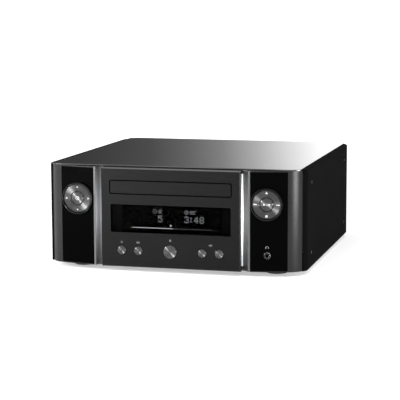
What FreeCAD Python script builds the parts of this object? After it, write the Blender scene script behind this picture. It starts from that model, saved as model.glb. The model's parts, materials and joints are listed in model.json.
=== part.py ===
import FreeCAD, Part
import math
import os

Vector = FreeCAD.Vector
UP = Vector(0, 0, 1)

# Compact disc receiver, in millimetres. X runs to the viewer's right, Y to the rear and Z up.
# The origin is the middle of the footprint, on the surface that the feet stand on.

# Overall size, feet, button faces and rear terminals included
WIDTH = 280.0
HEIGHT = 111.0
DEPTH = 303.0

# General clearances
GAP = 0.3
FIT = 0.05

# Steel shell and gloss top plate
FOOT_HEIGHT = 5.0
SHELL_FRONT_R = 18.0
SHELL_REAR_R = 20.0
SHEET = 1.0
TOP_PLATE_T = 1.2
PLATE_BORDER = 5.6
BORDER_DROP = 0.5
TERMINAL_REACH = 8.0
SEAM_SETBACK = 9.0
REAR_FLANGE = 20.0
CHASSIS_T = 1.2

# Front: how far things stand proud of the top plate's front edge
PANEL_PROUD = 10.6
BUTTON_PROUD = 1.4
PANEL_T = 3.0
PANEL_CHAMFER = 1.1
WALL_SETBACK = 6.5
WALL_T = 2.5
BOARD_T = 1.6

# Wings: a gently bowed front that turns into a rounded column at the side
WING_W = 55.4
WING_INNER_PROUD = 7.5
BOW_R = 200.0
BOW_TILT = 4.9
COLUMN_W = 17.6
WING_SKIN = 3.0
INLAY_T = 1.7
RIM = 1.0

# Lit groove between the panel and a wing
GROOVE_W = 9.6
GUIDE_T = 2.0
GUIDE_LIP = 1.0
GUIDE_W = 2.1
GUIDE_PROUD = 5.0
GUIDE_END = 5.0
CHEEK_RIB = 2.0
CHEEK_R = 7.65
CHEEK_SKIN = 1.6

# Tray opening, display window and buttons of the centre panel
TRAY_DROP = 21.8
TRAY_OPENING_MARGIN = 1.7
TRAY_OPENING_H = 14.6
DOOR_T = 2.6
DOOR_GAP = 0.45
WINDOW_HALF = 64.7
WINDOW_H = 29.6
WINDOW_DROP = 54.7
BUTTON_ROW = 17.7
BUTTON_R = 4.4
OPEN_BUTTON_R = 7.0
BUTTON_SPACING = (34.5, 52.7)
BUTTON_TRAVEL = 0.7

# Four-way dials and headphone jack
DIAL_X_INSET = 38.1
DIAL_DROP = 35.4
DIAL_PROUD = 10.0
BEZEL_R = 16.6
BEZEL_WALL = 0.85
PAD_CLEARANCE = 0.45
CENTRE_R = 6.9
PIVOT_SETBACK = 7.0
JACK_ROW = 17.3
JACK_RING_R = 3.75
JACK_BORE_R = 1.8
JACK_DEPTH = 15.0

# Disc, tray and loader
DISC_R = 60.0
SMALL_DISC_R = 40.0
TRAY_MARGIN = 4.0
TRAY_TRAVEL = 135.0
SLOT_HALF = 19.0
RACK_MODULE = 1.2
RACK_GEAR_TEETH = 22
TRAIN_MODULE = 0.9
WHEEL_TEETH = 30
PINION_TEETH = 14
BACKLASH = 0.25
PULLEY_R = 11.0
MOTOR_PULLEY_R = 3.2
BELT_T = 1.2
LOADER_WALL = 5.0
TRAIN_SETBACK = 17.5
SPINDLE_SETBACK = 20.9
SLED_TRAVEL = 35.0

# Rear connectors
POST_PITCH = 19.0
POST_R = 2.5
CAP_R = 6.5
CAP_FLUTES = 12
LINE_BARREL_R = 4.15
LINE_WELL_R = 1.7
LINE_WELL_DEPTH = 8.0
LINE_PITCH = 16.0
JACK_COLLAR = 0.2

# Levels and planes that follow from the sizes above
FRONT_Y = -DEPTH / 2
PANEL_Y = FRONT_Y + BUTTON_PROUD
SHELL_FRONT_Y = PANEL_Y + PANEL_PROUD
SHELL_REAR_Y = DEPTH / 2 - TERMINAL_REACH
SEAM_Y = SHELL_FRONT_Y + SEAM_SETBACK
WALL_Y = SHELL_FRONT_Y + WALL_SETBACK
WALL_BACK_Y = WALL_Y + WALL_T
BOARD_Y = WALL_BACK_Y + 3.5
BODY_BOTTOM = FOOT_HEIGHT
FLOOR_TOP = BODY_BOTTOM + CHASSIS_T
PLATE_BOTTOM = HEIGHT - TOP_PLATE_T
CAVITY_TOP = PLATE_BOTTOM - SHEET
FASCIA_TOP = PLATE_BOTTOM - GAP
HALF = WIDTH / 2
WING_INNER_X = HALF - WING_W
PANEL_HALF = WING_INNER_X - GROOVE_W
TRAY_Z = HEIGHT - TRAY_DROP
WINDOW_Z = HEIGHT - WINDOW_DROP
BUTTON_Z = BODY_BOTTOM + BUTTON_ROW
DIAL_X = HALF - DIAL_X_INSET
DIAL_Z = HEIGHT - DIAL_DROP
JACK_Z = BODY_BOTTOM + JACK_ROW
PAD_R = BEZEL_R - BEZEL_WALL - PAD_CLEARANCE
PIVOT_Y = SHELL_FRONT_Y - DIAL_PROUD + PIVOT_SETBACK
GUIDE_Y = SHELL_FRONT_Y - GUIDE_PROUD
GUIDE_BACK_Y = GUIDE_Y + GUIDE_W
REAR_PANEL_Y = SHELL_REAR_Y - 1.0
TRAY_HALF = DISC_R + TRAY_MARGIN
TRAY_OPENING_HALF = TRAY_HALF + TRAY_OPENING_MARGIN
LOADER_HALF = TRAY_HALF + LOADER_WALL
LOADER_FLOOR = TRAY_Z - 21.2
LOADER_FRONT_Y = BOARD_Y + 4.0
RACK_PITCH_R = RACK_MODULE * RACK_GEAR_TEETH / 2
TRAIN_DISTANCE = TRAIN_MODULE * (WHEEL_TEETH + PINION_TEETH) / 2
RACK_X = TRAY_HALF - 14.0
GEAR_X = RACK_X - RACK_PITCH_R
GEAR_Y = WALL_BACK_Y + TRAIN_SETBACK
DISC_Y = GEAR_Y + PULLEY_R + SPINDLE_SETBACK
PULLEY_X = GEAR_X - TRAIN_DISTANCE
MOTOR_X = PULLEY_X - 37.6
TRAY_REAR_Y = GEAR_Y + TRAY_TRAVEL + 6.0


# Shape helpers

def block(x0, x1, y0, y1, z0, z1):
    return Part.makeBox(x1 - x0, y1 - y0, z1 - z0, Vector(x0, y0, z0))


def rod_x(r, x0, x1, y, z):
    return Part.makeCylinder(r, x1 - x0, Vector(x0, y, z), Vector(1, 0, 0))


def rod_y(r, y0, y1, x, z):
    return Part.makeCylinder(r, y1 - y0, Vector(x, y0, z), Vector(0, 1, 0))


def rod_z(r, z0, z1, x, y):
    return Part.makeCylinder(r, z1 - z0, Vector(x, y, z0), UP)


def tube_y(outer, inner, y0, y1, x, z):
    return rod_y(outer, y0, y1, x, z).cut(rod_y(inner, y0 - 1, y1 + 1, x, z))


def turned_y(profile, x, z):
    """Solid of revolution about the Y axis through x, z; the profile is a list of (radius, y)."""
    points = [Vector(r, y, 0) for r, y in profile]
    face = Part.Face(Part.makePolygon(points + points[:1]))
    solid = face.revolve(Vector(0, 0, 0), Vector(0, 1, 0), 360)
    return solid.translated(Vector(x, 0, z))


def turned_z(profile, x, y):
    """Solid of revolution about the Z axis through x, y; the profile is a list of (radius, z)."""
    points = [Vector(r, 0, z) for r, z in profile]
    face = Part.Face(Part.makePolygon(points + points[:1]))
    solid = face.revolve(Vector(0, 0, 0), UP, 360)
    return solid.translated(Vector(x, y, 0))


def slab(edges, z0, z1):
    """Upright prism over a closed outline drawn at z = 0."""
    face = Part.Face(Part.Wire(Part.__sortEdges__(edges)))
    return face.extrude(Vector(0, 0, z1 - z0)).translated(Vector(0, 0, z0))


def line(a, b):
    return Part.LineSegment(a, b).toShape()


def arc(a, middle, b):
    return Part.Arc(a, middle, b).toShape()


def fused(shapes):
    body = shapes[0]
    if len(shapes) > 1:
        body = body.fuse(shapes[1:])
    return body.removeSplitter()


def mirrored(shape):
    return shape.mirror(Vector(0, 0, 0), Vector(1, 0, 0))


def edges_along(shape, axis):
    """Straight edges that run parallel to an axis vector."""
    found = []
    for edge in shape.Edges:
        run = edge.Vertexes[-1].Point - edge.Vertexes[0].Point
        if run.Length > 0 and abs(run.normalize().dot(axis)) > 0.999:
            found.append(edge)
    return found


def rounded_y(x0, x1, y0, y1, z0, z1, r):
    """Box with its four edges along Y rounded."""
    bar = block(x0, x1, y0, y1, z0, z1)
    return bar.makeFillet(r, edges_along(bar, Vector(0, 1, 0)))


def rounded_z(x0, x1, y0, y1, z0, z1, r):
    """Box with its four upright edges rounded."""
    bar = block(x0, x1, y0, y1, z0, z1)
    return bar.makeFillet(r, edges_along(bar, UP))


# Body outline: a rounded rectangle in plan

def corner_arc(cx, cy, r, start):
    """Quarter arc about a corner centre, from the start angle in degrees."""
    at = [math.radians(start + turn) for turn in (0, 45, 90)]
    a, middle, b = [Vector(cx + r * math.cos(t), cy + r * math.sin(t), 0) for t in at]
    return arc(a, middle, b)


def shell_prism(inset, z0, z1):
    half = HALF - inset
    front = SHELL_FRONT_Y + inset
    rear = SHELL_REAR_Y - inset
    rf = SHELL_FRONT_R - inset
    rr = SHELL_REAR_R - inset
    edges = [
        corner_arc(half - rf, front + rf, rf, -90),
        line(Vector(half, front + rf, 0), Vector(half, rear - rr, 0)),
        corner_arc(half - rr, rear - rr, rr, 0),
        line(Vector(half - rr, rear, 0), Vector(rr - half, rear, 0)),
        corner_arc(rr - half, rear - rr, rr, 90),
        line(Vector(-half, rear - rr, 0), Vector(-half, front + rf, 0)),
        corner_arc(rf - half, front + rf, rf, 180),
        line(Vector(rf - half, front, 0), Vector(half - rf, front, 0)),
    ]
    return slab(edges, z0, z1)


# Shell

def make_top_plate():
    """Gloss plate let into the cover's top, with a polished bevel along its front edge."""
    outline = shell_prism(0.0, PLATE_BOTTOM, HEIGHT)
    plate_half = HALF - PLATE_BORDER
    plate = outline.common(block(-plate_half, plate_half, SHELL_FRONT_Y, SHELL_REAR_Y - GAP, 0, HEIGHT))
    front = [e for e in plate.Edges if min(v.Z for v in e.Vertexes) > HEIGHT - 0.01
             and max(v.Y for v in e.Vertexes) < SHELL_FRONT_Y + 0.01]
    return plate.makeChamfer(0.4, front)


def make_cover():
    """Formed steel sheet: top, both sides and the rounded rear corners."""
    outer = shell_prism(0.0, BODY_BOTTOM, HEIGHT - BORDER_DROP)
    shoulder = [e for e in outer.Edges if min(v.Z for v in e.Vertexes) > HEIGHT - BORDER_DROP - 0.01]
    outer = outer.makeFillet(1.8, shoulder)
    cover = outer.cut(shell_prism(SHEET, BODY_BOTTOM - 1, CAVITY_TOP))
    cover = cover.cut(block(-HALF, HALF, FRONT_Y, SEAM_Y, 0, HEIGHT))
    plate_half = HALF - PLATE_BORDER + FIT
    cover = cover.cut(block(-plate_half, plate_half, SEAM_Y - 1, SHELL_REAR_Y + 1, PLATE_BOTTOM, HEIGHT))
    opening_half = HALF - REAR_FLANGE
    return cover.cut(block(-opening_half, opening_half, REAR_PANEL_Y - 4, SHELL_REAR_Y + 1, 0, CAVITY_TOP))


FOOT_X = HALF - 34.0
FOOT_YS = (SHELL_FRONT_Y + 24.5, SHELL_REAR_Y - 30.0)
FOOT_R = 14.0
PAD_T = 1.2


EAR_YS = (SHELL_FRONT_Y + 38.5, SHELL_REAR_Y - 36.5)
VENT_X = HALF - 66.0
VENT_COUNT = 6


def make_chassis():
    """Folded steel pan with vent slots, side flanges and four tall ears that the cover is screwed to."""
    inset = SHEET + 0.2
    pan = shell_prism(inset, BODY_BOTTOM, BODY_BOTTOM + 20.0)
    pan = pan.cut(shell_prism(inset + SHEET, FLOOR_TOP, BODY_BOTTOM + 21.0))
    pan = pan.cut(block(-HALF, HALF, FRONT_Y, WALL_BACK_Y + GAP, 0, HEIGHT))
    opening_half = HALF - REAR_FLANGE - 1.0
    pan = pan.cut(block(-opening_half, opening_half, REAR_PANEL_Y - 8.0, SHELL_REAR_Y, FLOOR_TOP, HEIGHT))
    pan = pan.cut(block(-HALF, HALF, REAR_PANEL_Y - 1.5, SHELL_REAR_Y, 0, HEIGHT))
    side = HALF - inset
    ears = []
    for y in EAR_YS:
        ears.append(block(side - SHEET, side, y - 9, y + 9, BODY_BOTTOM + 5.0, HEIGHT - 10.0))
        ears.append(block(-side, SHEET - side, y - 9, y + 9, BODY_BOTTOM + 5.0, HEIGHT - 10.0))
    slots = []
    for x in (-VENT_X, VENT_X):
        for step in range(VENT_COUNT):
            y = step * 9.0 - 27.0
            slots.append(block(x - 22, x + 22, y, y + 3.2, 0, FLOOR_TOP + 1))
    return fused([pan] + ears).cut(slots)


def make_rear_panel():
    """Flat steel panel with one cut-out per connector and a folded bottom lip."""
    half = HALF - REAR_FLANGE - GAP
    panel = block(-half, half, REAR_PANEL_Y - CHASSIS_T, REAR_PANEL_Y, BODY_BOTTOM, CAVITY_TOP - GAP)
    lip = block(-half, half, REAR_PANEL_Y - 10.0, REAR_PANEL_Y, FLOOR_TOP, FLOOR_TOP + CHASSIS_T)
    panel = fused([panel, lip])
    y0 = REAR_PANEL_Y - 3
    y1 = REAR_PANEL_Y + 1
    cuts = [block(*connector_box(INLET_X, INLET_HALF_W + GAP, INLET_HALF_H + GAP, y0, y1)),
            block(*connector_box(POSTS_X, CUP_HALF_W + GAP, CUP_HALF_H + GAP, y0, y1)),
            block(*connector_box(NETWORK_X, NETWORK_HALF_W + GAP, NETWORK_HALF_H + GAP, y0, y1))]
    cuts += [rod_y(LINE_BARREL_R + 0.6, y0, y1, x, z) for x, z in line_jack_places()]
    cuts.append(rod_y(AERIAL_R + 0.6, y0, y1, AERIAL_X, CONNECTOR_Z))
    for step in range(9):
        x = (step - 4) * 12.0
        cuts.append(block(x - 1.6, x + 1.6, y0, y1, HEIGHT - 40.0, HEIGHT - 16.0))
    return panel.cut(cuts)


def make_feet():
    """Four turned feet with a bevelled foot rim."""
    profile = [(0, PAD_T), (FOOT_R - 1.8, PAD_T), (FOOT_R, PAD_T + 1.8), (FOOT_R, FOOT_HEIGHT), (0, FOOT_HEIGHT)]
    return Part.makeCompound([turned_z(profile, sign * FOOT_X, y) for sign in (-1, 1) for y in FOOT_YS])


def make_foot_pads():
    pads = [rod_z(FOOT_R - 3.2, 0, PAD_T, sign * FOOT_X, y) for sign in (-1, 1) for y in FOOT_YS]
    return Part.makeCompound(pads)


# Wings: points on the bowed front, measured in plan on the right side

BOW_CX = WING_INNER_X - BOW_R * math.sin(math.radians(BOW_TILT))
BOW_CY = SHELL_FRONT_Y - WING_INNER_PROUD + BOW_R * math.cos(math.radians(BOW_TILT))
COLUMN_X = HALF - COLUMN_W
BOW_END = math.asin((COLUMN_X - BOW_CX) / BOW_R)
COLUMN_R = COLUMN_W / (1 - math.sin(BOW_END))
COLUMN_CX = HALF - COLUMN_R
COLUMN_CY = BOW_CY - BOW_R * math.cos(BOW_END) + COLUMN_R * math.cos(BOW_END)
SEAM_TURN = math.acos((COLUMN_CY - SEAM_Y) / COLUMN_R)


def bow_point(x, depth):
    """Point at width x on the bow, or on a parallel curve at a depth behind it."""
    r = BOW_R - depth
    return Vector(x, BOW_CY - math.sqrt(r * r - (x - BOW_CX) ** 2), 0)


def column_point(turn, depth):
    """Point on the column's arc; the turn is 0 where the surface faces the front."""
    r = COLUMN_R - depth
    return Vector(COLUMN_CX + r * math.sin(turn), COLUMN_CY - r * math.cos(turn), 0)


def bow_band(x0, x1, depth0, depth1):
    """Closed outline of a strip under the bow, between two depths."""
    middle = (x0 + x1) / 2
    return [
        arc(bow_point(x0, depth0), bow_point(middle, depth0), bow_point(x1, depth0)),
        line(bow_point(x1, depth0), bow_point(x1, depth1)),
        arc(bow_point(x1, depth1), bow_point(middle, depth1), bow_point(x0, depth1)),
        line(bow_point(x0, depth1), bow_point(x0, depth0)),
    ]


def wing_front(depth):
    """The two arcs of the wing's front at a depth, from its inner edge to the seam."""
    junction = column_point(BOW_END, depth)
    middle_x = (WING_INNER_X + COLUMN_X) / 2
    middle_turn = (BOW_END + SEAM_TURN) / 2
    return [
        arc(bow_point(WING_INNER_X, depth), bow_point(middle_x, depth), junction),
        arc(junction, column_point(middle_turn, depth), column_point(SEAM_TURN, depth)),
    ]


def wing_right_blank():
    """Moulded wing: curved skin, closed top and bottom, an inner side wall and a cup for the dial."""
    start = bow_point(WING_INNER_X, 0)
    end = column_point(SEAM_TURN, 0)
    inner_start = bow_point(WING_INNER_X, WING_SKIN)
    inner_end = column_point(SEAM_TURN, WING_SKIN)
    skin = slab(wing_front(0) + [line(end, inner_end)] + wing_front(WING_SKIN) + [line(inner_start, start)],
                FASCIA_BOTTOM, FASCIA_TOP)
    back_start = Vector(WING_INNER_X, WALL_Y, 0)
    back_end = Vector(inner_end.x - 2.0, WALL_Y, 0)
    corner = Vector(inner_end.x - 2.0, inner_end.y, 0)
    cap = wing_front(0) + [line(end, corner), line(corner, back_end), line(back_end, back_start),
                           line(back_start, start)]
    bottom = slab(cap, FASCIA_BOTTOM, FASCIA_BOTTOM + 2.0)
    top = slab(cap, FASCIA_TOP - 2.0, FASCIA_TOP)
    side = block(WING_INNER_X, WING_INNER_X + 1.8, inner_start.y, WALL_Y, FASCIA_BOTTOM, FASCIA_TOP)
    cup = rod_y(BEZEL_R + 2.4, bow_point(DIAL_X, 0).y, WALL_Y, DIAL_X, DIAL_Z)
    behind = slab(cap, FASCIA_BOTTOM, FASCIA_TOP)
    wing = fused([skin, bottom, top, side, cup.common(behind)])
    past_seam = block(0, HALF + 1, SEAM_Y - 0.2, 0, 0, HEIGHT)
    return wing.cut([rod_y(BEZEL_R + 0.15, FRONT_Y, WALL_Y + 1, DIAL_X, DIAL_Z), past_seam])


def pocketed(wing):
    """Sinks the pocket that the gloss inlay is glued into."""
    pocket = slab(bow_band(WING_INNER_X - 0.5, COLUMN_X, -4.0, INLAY_T + 0.1),
                  FASCIA_BOTTOM + RIM, FASCIA_TOP - RIM)
    return wing.cut(pocket)


FASCIA_BOTTOM = BODY_BOTTOM


def make_wing_left():
    return mirrored(pocketed(wing_right_blank()))


def make_wing_right():
    return pocketed(wing_right_blank()).cut(rod_y(JACK_RING_R + 0.25, FRONT_Y, WALL_Y, DIAL_X, JACK_Z))


def inlay_right_blank():
    inlay = slab(bow_band(WING_INNER_X, COLUMN_X - 0.2, 0.0, INLAY_T),
                 FASCIA_BOTTOM + RIM + 0.1, FASCIA_TOP - RIM - 0.1)
    return inlay.cut(rod_y(BEZEL_R + 0.15, FRONT_Y, WALL_Y, DIAL_X, DIAL_Z))


def make_inlay_left():
    return mirrored(inlay_right_blank())


def make_inlay_right():
    return inlay_right_blank().cut(rod_y(JACK_RING_R + 0.25, FRONT_Y, WALL_Y, DIAL_X, JACK_Z))


# Lit grooves

def cheek_right():
    """Concave strip that reflects the light: a hollow arc, a narrow front rib and a leg to the frame."""
    x0 = PANEL_HALF + 0.2
    cy = GUIDE_BACK_Y + 0.2 - CHEEK_R
    rib_x = WING_INNER_X - GAP
    leg_x = rib_x - 1.8
    groove_x = rib_x - CHEEK_RIB
    back_r = CHEEK_R + CHEEK_SKIN

    def on_arc(x, r):
        return Vector(x, cy + math.sqrt(r * r - (x - x0) ** 2), 0)

    rib_front = on_arc(groove_x, CHEEK_R).y
    corner = Vector(rib_x, rib_front, 0)
    foot = Vector(rib_x, WALL_Y, 0)
    foot_inner = Vector(leg_x, WALL_Y, 0)
    edges = [
        arc(on_arc(x0, CHEEK_R), on_arc((x0 + groove_x) / 2, CHEEK_R), on_arc(groove_x, CHEEK_R)),
        line(on_arc(groove_x, CHEEK_R), corner),
        line(corner, foot),
        line(foot, foot_inner),
        line(foot_inner, on_arc(leg_x, back_r)),
        arc(on_arc(leg_x, back_r), on_arc((leg_x + x0) / 2, back_r), on_arc(x0, back_r)),
        line(on_arc(x0, back_r), on_arc(x0, CHEEK_R)),
    ]
    return slab(edges, FASCIA_BOTTOM, FASCIA_TOP)


def make_light_guides():
    """Two clear bars with rounded ends that stand a little out of the sides of the centre panel."""
    bar = block(PANEL_HALF - GUIDE_T, PANEL_HALF + GUIDE_LIP, GUIDE_Y, GUIDE_BACK_Y,
                FASCIA_BOTTOM + GUIDE_END, FASCIA_TOP - GUIDE_END + 1.5)
    bar = bar.makeFillet(GUIDE_W / 2 - 0.1, edges_along(bar, Vector(1, 0, 0)))
    return Part.makeCompound([bar, mirrored(bar)])


# Centre panel and what it carries

BUTTON_XS = {
    "standby_button": -BUTTON_SPACING[1],
    "source_button": -BUTTON_SPACING[0],
    "open_button": 0.0,
    "volume_down_button": BUTTON_SPACING[0],
    "volume_up_button": BUTTON_SPACING[1],
}
PANEL_BACK_Y = PANEL_Y + PANEL_T
BUTTON_CLEARANCE = 0.25
STEM_HALF = 1.8
FLANGE_REACH = 1.2


def button_radius(name):
    return OPEN_BUTTON_R if name == "open_button" else BUTTON_R


def connector_box(x, half_w, half_h, y0, y1):
    return x - half_w, x + half_w, y0, y1, CONNECTOR_Z - half_h, CONNECTOR_Z + half_h


def window_opening(growth, y0, y1):
    return rounded_y(-WINDOW_HALF - growth, WINDOW_HALF + growth, y0, y1,
                     WINDOW_Z - WINDOW_H / 2 - growth, WINDOW_Z + WINDOW_H / 2 + growth, 1.2)


def tray_opening(growth, y0, y1):
    return rounded_y(-TRAY_OPENING_HALF - growth, TRAY_OPENING_HALF + growth, y0, y1,
                     TRAY_Z - TRAY_OPENING_H / 2 - growth, TRAY_Z + TRAY_OPENING_H / 2 + growth, 2.0)


def make_centre_panel():
    """Aluminium front with bevelled edges and two side returns that hold the light guides."""
    front = block(-PANEL_HALF, PANEL_HALF, PANEL_Y, PANEL_BACK_Y, FASCIA_BOTTOM, FASCIA_TOP)
    rim = [e for e in front.Edges if max(v.Y for v in e.Vertexes) < PANEL_Y + 0.01]
    front = front.makeChamfer(PANEL_CHAMFER, rim)
    side = block(PANEL_HALF - 2.4, PANEL_HALF, PANEL_BACK_Y, GUIDE_BACK_Y, FASCIA_BOTTOM, FASCIA_TOP)
    notch = block(PANEL_HALF - 3, PANEL_HALF + 1, GUIDE_Y, GUIDE_BACK_Y + 1,
                  FASCIA_BOTTOM + GUIDE_END, FASCIA_TOP - GUIDE_END + 1.5)
    side = side.cut(notch)
    panel = fused([front, side, mirrored(side)])
    cuts = [window_opening(0, FRONT_Y, PANEL_BACK_Y + 1), tray_opening(0, FRONT_Y, PANEL_BACK_Y + 1)]
    for name, x in BUTTON_XS.items():
        cuts.append(rod_y(button_radius(name) + BUTTON_CLEARANCE, FRONT_Y, PANEL_BACK_Y + 1, x, BUTTON_Z))
    return panel.cut(cuts)


def make_display_window():
    """Gloss black window flush with the panel, with a flange glued behind it."""
    nose = window_opening(-0.15, PANEL_Y + 0.1, PANEL_BACK_Y)
    flange = block(-WINDOW_HALF - 2.5, WINDOW_HALF + 2.5, PANEL_BACK_Y, PANEL_BACK_Y + 1.0,
                   WINDOW_Z - WINDOW_H / 2 - 2.2, WINDOW_Z + WINDOW_H / 2 + 2.2)
    return fused([nose, flange])


DISPLAY_BACK_Y = PANEL_BACK_Y + 5.4
DISPLAY_POSTS = [(x, z) for x in (-50, 50) for z in (WINDOW_Z - 11, WINDOW_Z + 11)]


def make_display_module():
    """Display glass on its own small board."""
    glass = block(-46, 46, PANEL_BACK_Y + 1.3, DISPLAY_BACK_Y - 1.6, WINDOW_Z - 12, WINDOW_Z + 12)
    board = block(-54, 54, DISPLAY_BACK_Y - 1.6, DISPLAY_BACK_Y, WINDOW_Z - 15, WINDOW_Z + 15)
    return fused([glass, board])


def button_stem(x, growth, y0, y1):
    half = STEM_HALF + growth
    return block(x - half, x + half, y0, y1, BUTTON_Z - half, BUTTON_Z + half)


def make_push_button(name):
    """Dished metal cap on a square retaining flange, with a square stem towards its switch."""
    r = button_radius(name)
    x = BUTTON_XS[name]
    dish = 0.5
    flange_y = PANEL_BACK_Y + GAP
    cap = turned_y([(0, FRONT_Y + dish), (r - 0.4, FRONT_Y), (r, FRONT_Y + 0.4), (r, flange_y), (0, flange_y)],
                   x, BUTTON_Z)
    reach = r + FLANGE_REACH
    flange = block(x - reach, x + reach, flange_y, flange_y + 1.0, BUTTON_Z - reach, BUTTON_Z + reach)
    return fused([cap, flange, button_stem(x, 0, flange_y + 1.0, WALL_Y + 1.1)])


def make_tray_door():
    """Tray front that closes flush with the centre panel."""
    return tray_opening(-DOOR_GAP, PANEL_Y, PANEL_Y + DOOR_T)


# Front frame and front board

DIAL_WELL_R = BEZEL_R - 1.6


def make_front_frame():
    """Moulded wall with ledges round the panel, rails behind the guides, posts and side arms."""
    half = HALF - 11.0
    inside = PANEL_HALF - 2.4 - 0.2
    parts = [
        block(-half, half, WALL_Y, WALL_BACK_Y, BODY_BOTTOM + 1.5, CAVITY_TOP),
        block(-inside, inside, PANEL_BACK_Y + 0.05, WALL_Y, FASCIA_TOP - 2.2, FASCIA_TOP - 0.4),
        block(-inside, inside, PANEL_BACK_Y + 0.05, WALL_Y, BODY_BOTTOM + 0.4, BODY_BOTTOM + 2.2),
    ]
    for sign in (-1, 1):
        x0, x1 = sorted((sign * (PANEL_HALF - 5.0), sign * PANEL_HALF))
        parts.append(block(x0, x1, GUIDE_BACK_Y, WALL_Y, BODY_BOTTOM + 1.5, CAVITY_TOP))
        x0, x1 = sorted((sign * (half - 2.0), sign * half))
        parts.append(block(x0, x1, WALL_BACK_Y, WALL_BACK_Y + 14, BODY_BOTTOM + 6.0, CAVITY_TOP - 6.0))
    parts += [block(x - 2, x + 2, DISPLAY_BACK_Y, WALL_Y, z - 2, z + 2) for x, z in DISPLAY_POSTS]
    cuts = [block(-TRAY_OPENING_HALF - 1.3, TRAY_OPENING_HALF + 1.3, PANEL_BACK_Y, WALL_BACK_Y + 1,
                  TRAY_Z - TRAY_OPENING_H / 2 - 1.3, TRAY_Z + TRAY_OPENING_H / 2 + 1.3)]
    cuts += [button_stem(x, GAP, FRONT_Y, WALL_BACK_Y + 1) for x in BUTTON_XS.values()]
    cuts += [rod_y(DIAL_WELL_R, FRONT_Y, WALL_BACK_Y + 1, x, DIAL_Z) for x in (-DIAL_X, DIAL_X)]
    cuts.append(block(DIAL_X - 5.2, DIAL_X + 5.2, WALL_Y - 1, WALL_BACK_Y + 1, JACK_Z - 5.2, JACK_Z + 5.2))
    return fused(parts).cut(cuts)


def make_front_board():
    """Circuit board behind the frame: a switch per button, four tall ones and a sleeve per dial."""
    top = BOARD_Y + BOARD_T
    parts = [block(-DIAL_X - 18, DIAL_X + 18, BOARD_Y, top, BODY_BOTTOM + 5.0, LOADER_FLOOR - 4.0)]
    parts += [block(x - 3, x + 3, BOARD_Y - 3.2, BOARD_Y, BUTTON_Z - 3, BUTTON_Z + 3) for x in BUTTON_XS.values()]
    for x in (-DIAL_X, DIAL_X):
        parts.append(block(x - 18, x + 18, BOARD_Y, top, LOADER_FLOOR - 4.0, DIAL_Z + 18))
        parts.append(tube_y(4.8, 3.0 + GAP, PIVOT_Y + 4.0, BOARD_Y, x, DIAL_Z))
        parts.append(block(x - 2, x + 2, BOARD_Y - 2.2, BOARD_Y, DIAL_Z - 2, DIAL_Z + 2))
        reach = PAD_R - 2.2
        for dx, dz in ((reach, 0), (-reach, 0), (0, reach), (0, -reach)):
            parts.append(block(x + dx - 1.2, x + dx + 1.2, PIVOT_Y + 2.9, BOARD_Y,
                               DIAL_Z + dz - 1.2, DIAL_Z + dz + 1.2))
    return fused(parts)


# Four-way dials, drawn at the right one's place and moved to the left by its distance

PAD_FRONT_Y = SHELL_FRONT_Y - DIAL_PROUD + 1.1
PIN_R = 0.8


def bezel_at(x):
    """Chrome ring with a bevelled lip; two holes in its wall carry the gimbal."""
    front = SHELL_FRONT_Y - DIAL_PROUD
    inner = BEZEL_R - BEZEL_WALL
    profile = [(inner, front + 0.5), (inner + 0.4, front), (BEZEL_R - 0.1, front), (BEZEL_R, front + 0.3),
               (BEZEL_R, WALL_Y), (inner, WALL_Y)]
    ring = turned_y(profile, x, DIAL_Z)
    return ring.cut(rod_x(PIN_R + FIT, x - BEZEL_R - 1, x + BEZEL_R + 1, PIVOT_Y, DIAL_Z))


def gimbal_at(x):
    """Small ring with two pins across that sit in the bezel and two upright pins that carry the pad."""
    ring = tube_y(PAD_R - 2.9, PAD_R - 4.9, PIVOT_Y - 1.2, PIVOT_Y + 1.2, x, DIAL_Z)
    across = rod_x(PIN_R, x - BEZEL_R + 0.1, x + BEZEL_R - 0.1, PIVOT_Y, DIAL_Z)
    upright = rod_z(PIN_R, DIAL_Z - PAD_R + 0.7, DIAL_Z + PAD_R - 0.7, x, PIVOT_Y)
    hollow = rod_y(PAD_R - 4.5, PIVOT_Y - 3, PIVOT_Y + 3, x, DIAL_Z)
    return fused([ring, across.cut(hollow), upright.cut(hollow)])


def pad_at(x):
    """Four-way pad: a dished face ring on a short skirt that tilts on the gimbal."""
    bore = CENTRE_R + 0.4
    profile = [(bore, PAD_FRONT_Y + 0.9), (bore + 0.6, PAD_FRONT_Y + 0.3), (PAD_R - 1.2, PAD_FRONT_Y),
               (PAD_R, PAD_FRONT_Y + 0.8), (PAD_R, PIVOT_Y + 2.0), (PAD_R - 1.7, PIVOT_Y + 2.0),
               (PAD_R - 1.7, PAD_FRONT_Y + 2.4), (bore, PAD_FRONT_Y + 2.4)]
    pad = turned_y(profile, x, DIAL_Z)
    notch = PIN_R + 0.8
    notches = block(x - PAD_R - 1, x + PAD_R + 1, PIVOT_Y - notch, PIVOT_Y + 3, DIAL_Z - notch, DIAL_Z + notch)
    return pad.cut([rod_z(PIN_R + FIT, DIAL_Z - PAD_R - 1, DIAL_Z + PAD_R + 1, x, PIVOT_Y), notches])


def centre_button_at(x):
    """Round centre key with a stem that slides in the sleeve of the front board."""
    front = PAD_FRONT_Y - 0.1
    profile = [(0, front + 0.2), (CENTRE_R - 0.9, front), (CENTRE_R, front + 0.6), (CENTRE_R, front + 3.2),
               (3.0, front + 3.2), (3.0, BOARD_Y - 3.3), (0, BOARD_Y - 3.3)]
    return turned_y(profile, x, DIAL_Z)


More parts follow.
